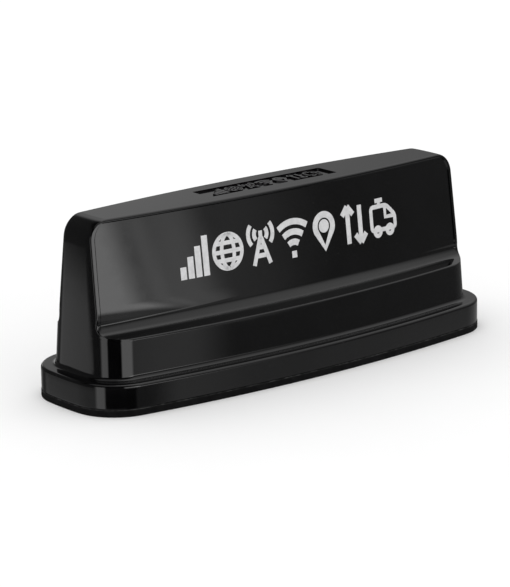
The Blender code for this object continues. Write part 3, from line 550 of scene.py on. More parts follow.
    def on_sweep(self, angle: float, inside: float = 0.0) -> tuple[float, float]:
        """(Half width, height) on the sweep, at an angle below the level of its centre.

        Args:
            angle: 0 beside the centre, a quarter turn straight below it.
            inside: Distance inside the skin.

        Returns:
            The point.
        """
        centre_y, centre_z = self.sweep_centre()
        radius = self.sweep_r + inside
        return centre_y - radius * math.cos(angle), centre_z - radius * math.sin(angle)

    def upper_rings(self) -> list[Section]:
        """Sections from the shoulder up to the flat top.

        Returns:
            The sections, upwards.
        """
        rings = [(self.tower_ring(z, cut_half=y), z) for y, z in self.side_profile()]
        heights = spaced(rings[-1][1], self.height - self.top_end_r, self.steps.panel)
        rings += [(self.tower_ring(z, cut_half=self.panel_half(z)), z) for z in heights[1:]]
        return rings + self.top_rings()

    def top_rings(self) -> list[Section]:
        """Sections over the end fillets and the top's long edges.

        Returns:
            The sections, upwards.
        """
        edge_start = math.asin(1 - self.top_edge_r / self.top_end_r)
        rim_drops = (self.top_rim + self.top_rim_slope, self.top_rim)
        angles = spaced(0.0, edge_start, self.steps.edge)[1:]
        angles = sorted(angles + [math.asin(1 - drop / self.top_end_r) for drop in rim_drops])
        angles += spaced(edge_start, QUARTER, self.steps.edge)[1:]
        rings = []
        for angle in angles:
            z = self.height - self.top_end_r * (1 - math.sin(angle))
            climb = max(z - (self.height - self.top_edge_r), 0.0)
            rounded = self.top_edge_r - math.sqrt(max(self.top_edge_r ** 2 - climb ** 2, 0.0))
            end_in = self.top_end_r * (1 - math.cos(angle))
            rings.append((self.tower_ring(z, 0.0, end_in, self.panel_half(z) - rounded), z))
        return rings

    def flat_top_rings(self, ring: Ring) -> list[Section]:
        """Rings inside the flat top, so that its shading stays level up to the edge.

        Args:
            ring: Section at the top's edge.

        Returns:
            The sections, inwards.
        """
        gain = self.steps.top_width_gain
        return [([Vector((p.x * (1 - s), p.y * (1 - gain * s))) for p in ring], self.height)
                for s in self.steps.top_shares]

    def inner_rings(self) -> list[Section]:
        """Sections of the hollow, from the rim up.

        Returns:
            The sections, upwards.
        """
        under = self.flange_top - self.wall
        rings = [(self.flange_ring(self.flange_wall), self.rim_z),
                 (self.flange_ring(self.flange_wall), under),
                 (self.tower_ring(under, self.wall), under)]
        low, top = self.shoulder_z - 2 * self.wall, self.height - self.wall
        rings.append((self.tower_ring(low, self.wall), low))
        for angle in spaced(math.pi / 3, math.atan(self.panel_draft), self.steps.hollow):
            y, z = self.on_sweep(angle, self.wall)
            rings.append((self.tower_ring(z, self.wall, cut_half=y), z))
        for end_in in (0.0, self.wall, self.top_end_r):
            z = top - (self.top_end_r - end_in) / 2
            rings.append((self.tower_ring(z, self.wall, end_in, self.panel_half(z) - self.wall), z))
        return rings

    def build(self) -> Object:
        """Whole radome: outer skin, rim, hollow inside and the recess in the top.

        Returns:
            The radome as one closed mesh.
        """
        outer = self.flange_rings() + self.band_rings() + self.upper_rings()
        outer += self.flat_top_rings(outer[-1][0])
        shell = mesh_object("radome_shell", skin("radome_shell", self.inner_rings()[::-1] + outer))
        ring = rounded_box(self.recess_l, self.recess_w, self.recess_r)
        low, high = self.height - self.recess_depth, self.height + self.past
        return weighted(cut(shell, skin("recess", [(ring, low), (ring, high)])))


# ---- node trees ----
class Graph:
    """Short calls for adding and joining the nodes of one tree."""

    def __init__(self, tree: Tree) -> None:
        """Keep the tree."""
        self.tree = tree

    def feed(self, socket: Socket, value: object) -> None:
        """Join a socket to another, or set its own value.

        Args:
            socket: Input to feed.
            value: Another node's output, or a plain value.
        """
        if isinstance(value, Socket):
            self.tree.links.new(value, socket)
        else:
            socket.default_value = value

    def add(self, kind: str, settings: dict[str, object] | None = None, **values: object) -> Node:
        """Add a node.

        Args:
            kind: Node type.
            settings: Properties of the node itself.
            **values: Inputs by name, with _ for a space: a socket or a plain value.

        Returns:
            The node.
        """
        node = self.tree.nodes.new(kind)
        for key, value in (settings or {}).items():
            setattr(node, key, value)
        for key, value in values.items():
            self.feed(node.inputs[key.replace("_", " ")], value)
        return node

    def feed_all(self, node: Node, values: Iterable[object]) -> Socket:
        """Feed a node's inputs in their order and return its first output.

        Args:
            node: The node.
            values: Outputs or plain values.

        Returns:
            Its first output.
        """
        for socket, value in zip(node.inputs, values):
            self.feed(socket, value)
        return node.outputs[0]

    def math(self, operation: str, *values: object) -> Socket:
        """Result of a Math node."""
        return self.feed_all(self.add("ShaderNodeMath", {"operation": operation}), values)

    def times(self, first: object, second: object) -> Socket:
        """Product of two values."""
        return self.math("MULTIPLY", first, second)

    def upward(self, vector: Socket) -> Socket:
        """Upward part of a vector."""
        return self.add("ShaderNodeSeparateXYZ", Vector=vector).outputs["Z"]

    def ease(self, value: object, start: object, end: object, low: object = 0.0,
             high: object = 1.0) -> Socket:
        """Smooth change from low to high as value goes from start to end."""
        node = self.add("ShaderNodeMapRange", {"interpolation_type": "SMOOTHSTEP"})
        return self.feed_all(node, (value, start, end, low, high))

    def blend(self, share: object, first: object, second: object) -> Socket:
        """Colour between two colours.

        Args:
            share: Share of the second one.
            first: First colour.
            second: Second colour.

        Returns:
            The colour.
        """
        node = self.add("ShaderNodeMix", {"data_type": "RGBA"})
        for index, item in ((0, share), (6, first), (7, second)):
            self.feed(node.inputs[index], item)
        return node.outputs[2]

    def noise(self, vector: Socket, scale: object, detail: float = 3.0) -> Socket:
        """Fractal noise between 0 and 1."""
        return self.add("ShaderNodeTexNoise", Vector=vector, Scale=scale, Detail=detail).outputs["Fac"]

    def millimetres(self) -> Socket:
        """Object coordinates in millimetres.

        Returns:
            The coordinates.
        """
        coords = self.add("ShaderNodeTexCoord").outputs["Object"]
        mapping = self.add("ShaderNodeMapping", Vector=coords, Scale=(1 / MM, 1 / MM, 1 / MM))
        return mapping.outputs["Vector"]


class Effect:
    """Shader node group that several finishes share, built the first time that it is placed."""

    name = "effect"
    inputs: tuple[tuple[str, float], ...] = ()
    output = "Value"

    def tree(self) -> Tree:
        """The group's tree: a Vector input, the named values and one output.

        Returns:
            The tree.
        """
        tree = bpy.data.node_groups.get(self.name)
        if tree is None:
            tree = bpy.data.node_groups.new(self.name, "ShaderNodeTree")
            tree.interface.new_socket("Vector", in_out="INPUT", socket_type="NodeSocketVector")
            for label, value in self.inputs:
                socket = tree.interface.new_socket(label, in_out="INPUT", socket_type="NodeSocketFloat")
                socket.default_value = value
            tree.interface.new_socket(self.output, in_out="OUTPUT", socket_type="NodeSocketFloat")
            graph = Graph(tree)
            inside = graph.add("NodeGroupInput").outputs
            result = self.fill(graph, inside)
            graph.feed(graph.add("NodeGroupOutput").inputs[0], result)
        return tree

    def fill(self, graph: Graph, inside: Sockets) -> Socket:
        """Build the group's nodes and return its result."""
        raise NotImplementedError

    def place(self, graph: Graph, vector: Socket, **values: object) -> Socket:
        """Put the group in a material, with coordinates in millimetres, and return its output."""
        return graph.add("ShaderNodeGroup", {"node_tree": self.tree()}, Vector=vector, **values).outputs[0]


class Mottle(Effect):
    """Soft blotches, mapped to a range."""

    name = "mottle"
    inputs = (("Scale", 0.1), ("Low", 0.0), ("High", 1.0))

    def fill(self, graph: Graph, inside: Sockets) -> Socket:
        """Two sizes of noise, spread over the range.

        Args:
            graph: The tree that is being built.
            inside: The group's inputs.

        Returns:
            The blotches.
        """
        broad = graph.noise(inside["Vector"], inside["Scale"], 4.0)
        fine_scale = graph.times(inside["Scale"], 7.0)
        fine = graph.noise(inside["Vector"], fine_scale, 2.0)
        both = graph.math("ADD", graph.times(broad, 0.7), graph.times(fine, 0.3))
        return graph.ease(both, 0.35, 0.65, inside["Low"], inside["High"])


class Surface(Effect):
    """Height of a moulded, cast or cut surface: broad waves and a fine grain."""

    name = "surface"
    inputs = (("Wave scale", 0.2), ("Grain scale", 6.0), ("Grain share", 0.2))
    output = "Height"

    def fill(self, graph: Graph, inside: Sockets) -> Socket:
        """Waves and grain, mixed by the grain's share.

        Args:
            graph: The tree that is being built.
            inside: The group's inputs.

        Returns:
            The height.
        """
        wave = graph.noise(inside["Vector"], inside["Wave scale"], 1.0)
        grain = graph.noise(inside["Vector"], inside["Grain scale"], 3.0)
        kept = graph.math("SUBTRACT", 1.0, inside["Grain share"])
        return graph.math("ADD", graph.times(wave, kept),
                          graph.times(grain, inside["Grain share"]))


class Specks(Effect):
    """Mask of small round specks, a chosen share of a grid of cells."""

    name = "specks"
    inputs = (("Scale", 1.0), ("Size", 0.2), ("Share", 0.3))
    output = "Mask"

    def fill(self, graph: Graph, inside: Sockets) -> Socket:
        """Disc at a cell's centre where the cell's own random value is under the share.

        Args:
            graph: The tree that is being built.
            inside: The group's inputs.

        Returns:
            The mask.
        """
        cells = graph.add("ShaderNodeTexVoronoi", Vector=inside["Vector"], Scale=inside["Scale"])
        disc = graph.math("LESS_THAN", cells.outputs["Distance"], inside["Size"])
        red = graph.add("ShaderNodeSeparateColor", Color=cells.outputs["Color"]).outputs[0]
        return graph.times(disc, graph.math("LESS_THAN", red, inside["Share"]))


class Streaks(Effect):
    """Fine marks of turning or brushing, drawn out round one axis."""

    name = "streaks"
    inputs = (("Scale", 4.0), ("Stretch", 12.0))
    output = "Height"

    def fill(self, graph: Graph, inside: Sockets) -> Socket:
        """Noise that changes quickly with height and slowly along the surface.

        Args:
            graph: The tree that is being built.
            inside: The group's inputs.

        Returns:
            The height.
        """
        parts = graph.add("ShaderNodeSeparateXYZ", Vector=inside["Vector"]).outputs
        high = graph.times(parts["Z"], inside["Stretch"])
        spread = graph.add("ShaderNodeCombineXYZ", X=parts["X"], Y=parts["Y"], Z=high).outputs[0]
        return graph.noise(spread, inside["Scale"], 2.0)


class Settled(Effect):
    """Mask of fine dust that lies on faces that look up."""

    name = "settled dust"
    inputs = (("Scale", 3.0), ("Amount", 0.3))
    output = "Mask"

    def fill(self, graph: Graph, inside: Sockets) -> Socket:
        """Noise where the face looks up, times the amount.

        Args:
            graph: The tree that is being built.
            inside: The group's inputs.

        Returns:
            The mask.
        """
        normal = graph.add("ShaderNodeNewGeometry").outputs["Normal"]
        up = graph.upward(normal)
        patchy = graph.ease(graph.noise(inside["Vector"], inside["Scale"], 6.0), 0.45, 0.75)
        return graph.times(graph.times(graph.ease(up, 0.3, 0.95), patchy),
                          inside["Amount"])


class Tracks(Effect):
    """Mask of straight copper tracks and round pads under solder mask."""

    name = "copper tracks"
    inputs = (("Pitch", 0.55), ("Pads", 0.5))
    output = "Mask"

    def fill(self, graph: Graph, inside: Sockets) -> Socket:
        """Edges of square cells as tracks, with a pad in some of the cells.

        Args:
            graph: The tree that is being built.
            inside: The group's inputs.

        Returns:
            The mask.
        """
        cells = graph.add("ShaderNodeTexVoronoi", {"distance": "CHEBYCHEV", "feature": "F1"},
                          Vector=inside["Vector"], Scale=inside["Pitch"])
        edge = graph.ease(cells.outputs["Distance"], 0.40, 0.44)
        pads = Specks().place(graph, inside["Vector"], Scale=inside["Pads"], Size=0.22, Share=0.6)
        return graph.math("MAXIMUM", edge, pads)


# ---- finishes ----
@dataclass(frozen=True)
class Bump:
    """Relief of a finish: wave and grain scales per millimetre, share of the grain, and depth."""

    wave: float
    grain: float
    share: float
    depth_mm: float
    strength: float = 1.0


@dataclass(frozen=True)
class Finish:
    """One finish: two colours and two roughness values that blend over the surface, and its relief."""

    name: str
    colour: Colour
    second: Colour
    roughness: tuple[float, float]
    metallic: float = 0.0
    mottle: float = 0.12
    bump: Bump = Bump(0.2, 6.0, 0.5, 0.01)
    ior: float = 1.5
    dust: float = 0.0
    dust_colour: Colour = (0.30, 0.29, 0.27)
    shine_scale: float = 2.3

    def height(self, graph: Graph, vector: Socket) -> Socket:
        """Height that drives the relief."""
        return Surface().place(graph, vector, Wave_scale=self.bump.wave, Grain_scale=self.bump.grain,
                               Grain_share=self.bump.share)

    def base(self, graph: Graph, vector: Socket) -> Socket:
        """Base colour.

        Args:
            graph: The tree that is being built.
            vector: Coordinates in millimetres.

        Returns:
            The colour.
        """
        share = Mottle().place(graph, vector, Scale=self.mottle)
        colour = graph.blend(share, (*self.colour, 1.0), (*self.second, 1.0))
        if self.dust > 0.0:
            mask = Settled().place(graph, vector, Amount=self.dust)
            colour = graph.blend(mask, colour, (*self.dust_colour, 1.0))
        return colour

    def shine(self, graph: Graph, vector: Socket) -> Socket:
        """Roughness."""
        low, high = self.roughness
        return Mottle().place(graph, vector, Scale=self.mottle * self.shine_scale, Low=low, High=high)

    def material(self) -> bpy.types.Material:
        """The finish as a material, made the first time that it is asked for.

        Returns:
            The material.
        """
        material = bpy.data.materials.get(self.name)
        if material is not None:
            return material
        material = bpy.data.materials.new(self.name)
        material.use_nodes = True
        graph = Graph(material.node_tree)
        shader = material.node_tree.nodes["Principled BSDF"]
        vector = graph.millimetres()
        graph.feed(shader.inputs["Base Color"], self.base(graph, vector))
        graph.feed(shader.inputs["Roughness"], self.shine(graph, vector))
        shader.inputs["Metallic"].default_value = self.metallic
        shader.inputs["IOR"].default_value = self.ior
        bump = graph.add("ShaderNodeBump", Height=self.height(graph, vector))
        bump.inputs["Strength"].default_value = self.bump.strength
        bump.inputs["Distance"].default_value = self.bump.depth_mm * MM
        graph.feed(shader.inputs["Normal"], bump.outputs["Normal"])
        return material

    def dress(self, obj: Object) -> None:
        """Give an object this finish all over.

        Args:
            obj: The object.
        """
        if not obj.material_slots:
            obj.data.materials.append(self.material())
        for slot in obj.material_slots:
            slot.material = self.material()


@dataclass(frozen=True)
class GlossPlastic(Finish):
    """Polished moulded plastic: deep black, sharp reflections, a few dust specks and fine haze."""

    speck_colour: Colour = (0.5, 0.49, 0.47)
    speck_share: float = 0.16

    def base(self, graph: Graph, vector: Socket) -> Socket:
        """Black with settled dust and the odd speck.

        Args:
            graph: The tree that is being built.
            vector: Coordinates in millimetres.

        Returns:
            The colour.
        """
        colour = super().base(graph, vector)
        specks = Specks().place(graph, vector, Scale=0.42, Size=0.045, Share=0.10)
        return graph.blend(graph.times(specks, self.speck_share), colour, (*self.speck_colour, 1.0))


@dataclass(frozen=True)
class CutFoam(Finish):
    """Closed-cell foam: dull, pitted with cells darkened as painted shade, with light crumbs and a painted
    highlight line along its upper edge.
    """

    joint_z: float = 3.2
    # Colour of the cells: painted shade in the pits.
    cell_shade_colour: Colour = (0.002, 0.002, 0.002)
    cell_share: float = 0.6
    # Crumbs and a painted highlight line along the upper edge share this colour, share and band.
    crumb_and_highlight_colour: Colour = (0.20, 0.20, 0.20)
    crumb_and_highlight_share: float = 0.5
    crumb_and_highlight_band: tuple[float, float] = (0.55, 0.25)

    def cells(self, graph: Graph, vector: Socket) -> Socket:
        """Mask of open cells on the cut faces."""
        return Specks().place(graph, vector, Scale=2.4, Size=0.34, Share=0.55)

    def base(self, graph: Graph, vector: Socket) -> Socket:
        """Dull black, darker in the cells as painted shade, with crumbs and a painted highlight line near
        the joint.

        Args:
            graph: The tree that is being built.
            vector: Coordinates in millimetres.

        Returns:
            The colour.
        """
        colour = super().base(graph, vector)
        # Painted shade: the cells are darkened in colour as if shade lay in them.
        colour = graph.blend(graph.times(self.cells(graph, vector), self.cell_share), colour,
                             (*self.cell_shade_colour, 1.0))
        height = graph.upward(vector)
        near = graph.ease(height, self.joint_z - self.crumb_and_highlight_band[0], self.joint_z - self.crumb_and_highlight_band[1])
        crumbs = Specks().place(graph, vector, Scale=1.5, Size=0.21, Share=0.28)
        # Painted highlight: a pale noisy line along the gasket's upper edge, mixed with the crumb specks.
        painted_highlight_line = graph.ease(graph.noise(vector, 0.35, 4.0), 0.42, 0.7, 0.05, 0.40)
        light = graph.times(near, graph.math("MAXIMUM", crumbs, painted_highlight_line))
        return graph.blend(graph.times(light, self.crumb_and_highlight_share), colour, (*self.crumb_and_highlight_colour, 1.0))

    def height(self, graph: Graph, vector: Socket) -> Socket:
        """Grain with the cells sunk into it."""
        return graph.math("SUBTRACT", super().height(graph, vector),
                          graph.times(self.cells(graph, vector), self.cell_share))


@dataclass(frozen=True)
class TurnedMetal(Finish):
    """Metal with fine tool marks round it."""

    def height(self, graph: Graph, vector: Socket) -> Socket:
        """Tool marks."""
        return Streaks().place(graph, vector, Scale=self.bump.grain)


@dataclass(frozen=True)
class PrintedBoard(Finish):
    """Solder mask over copper: tracks show through, lighter and slightly raised."""

    copper: Colour = (0.10, 0.30, 0.12)

    def tracks(self, graph: Graph, vector: Socket) -> Socket:
        """Mask of the copper."""
        return Tracks().place(graph, vector)

    def base(self, graph: Graph, vector: Socket) -> Socket:
        """Green mask, lighter over the copper."""
        return graph.blend(self.tracks(graph, vector), super().base(graph, vector), (*self.copper, 1.0))

    def height(self, graph: Graph, vector: Socket) -> Socket:
        """Raised copper."""
        return graph.math("ADD", self.tracks(graph, vector), super().height(graph, vector))


@dataclass(frozen=True)
class SilveredCeramic(Finish):
    """Sintered ceramic with a silvered face on its top."""

    silver_z: float = 0.0
    silver: Colour = (0.72, 0.72, 0.70)

    def base(self, graph: Graph, vector: Socket) -> Socket:
        """Ceramic body, silver above the given height."""
        mask = graph.math("GREATER_THAN", graph.upward(vector), self.silver_z)
        return graph.blend(mask, super().base(graph, vector), (*self.silver, 1.0))


class Slot(Enum):
    """Material slots of the record."""

    RADOME = "gloss_black_plastic"
    CASTING = "cast_metal"
    FOAM = "black_foam"
    SEAL = "seal_silicone"
    STEEL = "zinc_steel"
    BRASS = "brass"
    GOLD = "gold_plate"
    TIN = "tin_plate"
    BOARD = "circuit_board"
    NYLON = "holder_nylon"
    CERAMIC = "patch_ceramic"
    JACKET = "lead_jacket"
    VENT = "vent_plastic"


def finishes() -> dict[Slot, Finish]:
    """Finish of every slot.

    Returns:
        The finishes.
    """
    silver_thickness = 0.05
    silver_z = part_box("gnss_patch")[1].z / MM - silver_thickness
    gasket_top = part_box("roof_gasket")[1].z / MM
    return {
        Slot.RADOME: GlossPlastic("polished radome plastic", (0.0010, 0.0010, 0.0011),
                                  (0.0020, 0.0020, 0.0022), (0.035, 0.070), mottle=0.05,
                                  bump=Bump(0.11, 2.6, 0.03, 0.006, 0.5), dust=0.008),
        Slot.CASTING: Finish("bead blasted casting", (0.36, 0.36, 0.37), (0.47, 0.47, 0.48),
                             (0.42, 0.60), 1.0, bump=Bump(0.25, 3.2, 0.75, 0.05)),
        Slot.FOAM: CutFoam("cut foam rubber", (0.0028, 0.0028, 0.0030), (0.0060, 0.0060, 0.0062),
                           (0.86, 0.98), mottle=0.3, bump=Bump(0.6, 3.5, 0.6, 0.10), ior=1.25,
                           joint_z=gasket_top),
        Slot.SEAL: Finish("moulded silicone", (0.12, 0.12, 0.13), (0.19, 0.19, 0.20), (0.48, 0.66),
                          bump=Bump(0.3, 5.0, 0.5, 0.015)),
        Slot.STEEL: TurnedMetal("zinc plated steel", (0.50, 0.51, 0.54), (0.62, 0.60, 0.55),
                                (0.24, 0.42), 1.0, 0.4, Bump(0.4, 2.5, 0.5, 0.012)),
        Slot.BRASS: TurnedMetal("turned brass", (0.70, 0.50, 0.20), (0.82, 0.62, 0.30),
                                (0.20, 0.36), 1.0, 0.35, Bump(0.4, 3.0, 0.5, 0.010)),
        Slot.GOLD: TurnedMetal("gold plating", (0.82, 0.58, 0.24), (0.90, 0.68, 0.34),
                               (0.14, 0.28), 1.0, 0.35, Bump(0.4, 3.0, 0.5, 0.006)),
        Slot.TIN: Finish("tinned sheet", (0.56, 0.57, 0.58), (0.68, 0.68, 0.67), (0.22, 0.40), 1.0,
                         0.25, Bump(0.15, 4.0, 0.3, 0.015)),
        Slot.BOARD: PrintedBoard("printed board", (0.012, 0.12, 0.045), (0.025, 0.18, 0.075),
                                 (0.28, 0.42), bump=Bump(0.3, 5.0, 0.4, 0.03)),
        Slot.NYLON: Finish("natural nylon", (0.55, 0.54, 0.50), (0.68, 0.67, 0.63), (0.40, 0.56),
                           bump=Bump(0.2, 4.0, 0.5, 0.02)),
        Slot.CERAMIC: SilveredCeramic("sintered ceramic", (0.40, 0.31, 0.22), (0.52, 0.42, 0.31),
                                      (0.36, 0.52), mottle=0.5, bump=Bump(0.5, 5.0, 0.7, 0.02),
                                      silver_z=silver_z),
        Slot.JACKET: Finish("cable jacket", (0.014, 0.014, 0.014), (0.028, 0.028, 0.028),
                            (0.34, 0.50), mottle=0.5, bump=Bump(0.8, 5.0, 0.5, 0.02)),
        Slot.VENT: Finish("vent plastic", (0.18, 0.19, 0.20), (0.26, 0.27, 0.28), (0.40, 0.56),
                          bump=Bump(0.3, 5.0, 0.6, 0.02)),
    }


PRINT = Finish("pale print", (0.56, 0.56, 0.565), (0.66, 0.66, 0.665), (0.32, 0.46), mottle=0.4,
               bump=Bump(0.6, 7.0, 0.5, 0.008))


# ---- repeated shapes ----
class Repeater:
    """Geometry Nodes tree with named inputs, run on a mesh of guide points and thrown away after."""

    name = "repeater"
    inputs: tuple[tuple[str, float], ...] = ()

    def __init__(self) -> None:
        """Build the tree: guide geometry in, finished geometry out."""
        self.tree = bpy.data.node_groups.new(self.name, "GeometryNodeTree")
        face = self.tree.interface
        face.new_socket("Geometry", in_out="INPUT", socket_type="NodeSocketGeometry")
        self.keys = {}
        for label, value in self.inputs:
            socket = face.new_socket(label, in_out="INPUT", socket_type="NodeSocketFloat")
            socket.default_value = value
            self.keys[label] = socket.identifier
        socket = face.new_socket("Material", in_out="INPUT", socket_type="NodeSocketMaterial")
        self.keys["Material"] = socket.identifier
        face.new_socket("Geometry", in_out="OUTPUT", socket_type="NodeSocketGeometry")
        graph = Graph(self.tree)
        inside = graph.add("NodeGroupInput").outputs
        shape = self.fill(graph, inside)
        real = graph.add("GeometryNodeRealizeInstances", Geometry=shape).outputs[0]
        done = graph.add("GeometryNodeSetMaterial", Geometry=real, Material=inside["Material"])
        graph.feed(graph.add("NodeGroupOutput").inputs[0], done.outputs[0])

    def fill(self, graph: Graph, inside: Sockets) -> Socket:
        """Build the tree's own nodes and return the shape."""
        raise NotImplementedError

    @staticmethod
    def on_points(graph: Graph, places: Socket, shape: Socket) -> Socket:
        """One copy of a shape on every point of a mesh."""
        points = graph.add("GeometryNodeMeshToPoints", Mesh=places).outputs[0]
        return graph.add("GeometryNodeInstanceOnPoints", Points=points, Instance=shape).outputs[0]

    def run(self, name: str, guide: Mesh, finish: Finish, **values: float) -> Object:
        """Run the tree on a guide mesh.

        Args:
            name: Name of the result.
            guide: Points or edges that the shapes follow.
            finish: Finish of the result.
            **values: Inputs that differ from their defaults, with _ for a space.

        Returns:
            Plain mesh object.
        """
        obj = mesh_object(name + "_guide", guide)
        modifier = obj.modifiers.new(self.name, "NODES")
        modifier.node_group = self.tree
        for key, value in values.items():
            modifier[self.keys[key.replace("_", " ")]] = value
        modifier[self.keys["Material"]] = finish.material()
        return settled(obj, name)


class Strokes(Repeater):
    """Flat strokes of one width and thickness that follow guide lines."""

    name = "strokes"
    inputs = (("Width", 2.0), ("Thickness", 0.12))

    def fill(self, graph: Graph, inside: Sockets) -> Socket:
        """Sweep a flat rectangle along the lines.

        Args:
            graph: The tree that is being built.
            inside: The group's inputs.

        Returns:
            The strokes.
        """
        lines = graph.add("GeometryNodeMeshToCurve", Mesh=inside["Geometry"]).outputs[0]
        section = graph.add("GeometryNodeCurvePrimitiveQuadrilateral", Width=inside["Width"],
                            Height=inside["Thickness"]).outputs[0]
        flat = graph.add("GeometryNodeSetCurveNormal", {"mode": "Z_UP"}, Curve=lines).outputs[0]
        swept = graph.add("GeometryNodeCurveToMesh", Curve=flat, Profile_Curve=section, Fill_Caps=True)
        return swept.outputs[0]


class Screws(Repeater):
    """Countersunk screws with a six-sided drive, heads down, one at each guide point."""

    overlap = 0.1 * MM
    name = "screws"
    inputs = (("Head diameter", 5.6 * MM), ("Head height", 1.6 * MM), ("Under head", 3.0 * MM),
              ("Shank diameter", 3.0 * MM), ("Shank length", 9.0 * MM), ("Drive size", 2.0 * MM),
              ("Drive depth", 1.2 * MM))

    def fill(self, graph: Graph, inside: Sockets) -> Socket:
        """Head and shank joined, the drive cut out, one copy on each point.

        Args:
            graph: The tree that is being built.
            inside: The group's inputs.

        Returns:
            The screws.
        """
        head = self.cone(graph, 32, inside["Head diameter"], inside["Under head"], inside["Head height"])
        lift = graph.math("SUBTRACT", inside["Head height"], self.overlap)
        shank = self.cone(graph, 24, inside["Shank diameter"], inside["Shank diameter"],
                          inside["Shank length"], lift)
        drive = self.cone(graph, 6, inside["Drive size"], inside["Drive size"], inside["Drive depth"],
                          -2 * self.overlap)
        whole = graph.add("GeometryNodeMeshBoolean", {"operation": "UNION", "solver": "EXACT"})
        for part in (head, shank):
            graph.feed(whole.inputs["Mesh 2"], part)
        cut_out = graph.add("GeometryNodeMeshBoolean", {"operation": "DIFFERENCE", "solver": "EXACT"})
        graph.feed(cut_out.inputs["Mesh 1"], whole.outputs[0])
        graph.feed(cut_out.inputs["Mesh 2"], drive)
        return self.on_points(graph, inside["Geometry"], cut_out.outputs[0])

    @staticmethod
    def cone(graph: Graph, sides: int, low: Socket, high: Socket, depth: Socket,
             lift: object = 0.0) -> Socket:
        """Upright cone from diameters, standing at a height.

        Args:
            graph: The tree.
            sides: Sides of the cone.
            low: Diameter at the bottom.
            high: Diameter at the top.
            depth: Height of the cone.
            lift: Height of its bottom.

        Returns:
            The cone's mesh.
        """
        node = graph.add("GeometryNodeMeshCone", Vertices=sides, Depth=depth)
        graph.feed(node.inputs["Radius Bottom"], graph.math("DIVIDE", low, 2.0))
        graph.feed(node.inputs["Radius Top"], graph.math("DIVIDE", high, 2.0))
        place = graph.add("ShaderNodeCombineXYZ", Z=lift).outputs[0]
        moved = graph.add("GeometryNodeTransform", Geometry=node.outputs[0], Translation=place)
        return moved.outputs[0]


class Ridges(Repeater):
    """Rings of a thread on a shank, one stack at each guide point."""

    ring_sides = 32
    wire_sides = 4
    name = "thread ridges"
    inputs = (("Diameter", 6.2 * MM), ("Pitch", 0.7 * MM), ("Count", 9.0), ("Height", 0.18 * MM))

    def fill(self, graph: Graph, inside: Sockets) -> Socket:
        """A stack of thin rings, copied to every point.

        Args:
            graph: The tree that is being built.
            inside: The group's inputs.

        Returns:
            The ridges.
        """
        radius = graph.math("DIVIDE", inside["Diameter"], 2.0)
        circle = "GeometryNodeCurvePrimitiveCircle"
        ring = graph.add(circle, Resolution=self.ring_sides, Radius=radius).outputs[0]
        wire = graph.add(circle, Resolution=self.wire_sides, Radius=inside["Height"]).outputs[0]
        torus = graph.add("GeometryNodeCurveToMesh", Curve=ring, Profile_Curve=wire).outputs[0]
        step = graph.add("ShaderNodeCombineXYZ", Z=inside["Pitch"]).outputs[0]
        line = graph.add("GeometryNodeMeshLine", Count=inside["Count"], Offset=step).outputs[0]
        return self.on_points(graph, inside["Geometry"], self.on_points(graph, line, torus))


def guide_points(name: str, places: Iterable[Vector]) -> Mesh:
    """Mesh of loose points.

    Args:
        name: Mesh name.
        places: The points.

    Returns:
        The mesh.
    """
    mesh = bpy.data.meshes.new(name)
    mesh.from_pydata([tuple(p) for p in places], [], [])
    return mesh


# ---- pictograms ----
def guide_lines(name: str, lines: Sequence[Line], shift: float) -> Mesh:
    """Mesh of loose edges along lines.

    Args:
        name: Mesh name.
        lines: The lines; one whose ends meet is closed.
        shift: Distance that they are moved along X.

    Returns:
        The mesh, in the XY plane.
    """
    verts, edges = [], []
    for line in lines:
        closed = line[0] == line[-1]
        points = line[:-1] if closed else line
        first = len(verts)
        verts += [(x + shift, y, 0.0) for x, y in points]
        edges += [(first + k, first + k + 1) for k in range(len(points) - 1)]
        edges += [(first + len(points) - 1, first)] if closed else []
    mesh = bpy.data.meshes.new(name)
    mesh.from_pydata(verts, edges, [])
    return mesh


def round_arc(x: float, y: float, radius: float, start: float, end: float, tall: float = 1.0) -> Line:
    """Points on an arc, in degrees, stretched upwards by tall.

    Args:
        x: Across, to the centre.
        y: Up, to the centre.
        radius: Radius.
        start: First angle.
        end: Last angle.
        tall: Stretch upwards.

    Returns:
        The points.
    """
    steps = max(6, int(abs(end - start) / 8))
    angles = [math.radians(start + (end - start) * i / steps) for i in range(steps + 1)]
    return [(x + radius * math.cos(a), y + radius * tall * math.sin(a)) for a in angles]


def softened(corners: Line, radius: float) -> Line:
    """Closed outline with each corner drawn as a short curve.

    Args:
        corners: Corner points in order.
        radius: How far from its corner each curve starts.

    Returns:
        Points in order, the first one again at the end.
    """
    points = []
    for i, corner in enumerate(corners):
        here = Vector(corner)
        before, after = Vector(corners[i - 1]), Vector(corners[(i + 1) % len(corners)])
        start = here + (before - here).normalized() * radius
        end = here + (after - here).normalized() * radius
        for step in range(5):
            t = step / 4
            point = start * (1 - t) ** 2 + here * (2 * t * (1 - t)) + end * t ** 2
            points.append((point.x, point.y))
    return points + points[:1]


class Sign(Enum):
    """Plain signs for what the antenna receives."""

    BARS = "signal bars"
    GLOBE = "globe"
    MAST = "mast"
    FAN = "wireless fan"
    PIN = "place pin"
    ARROWS = "data arrows"
    CAMPER = "camper van"


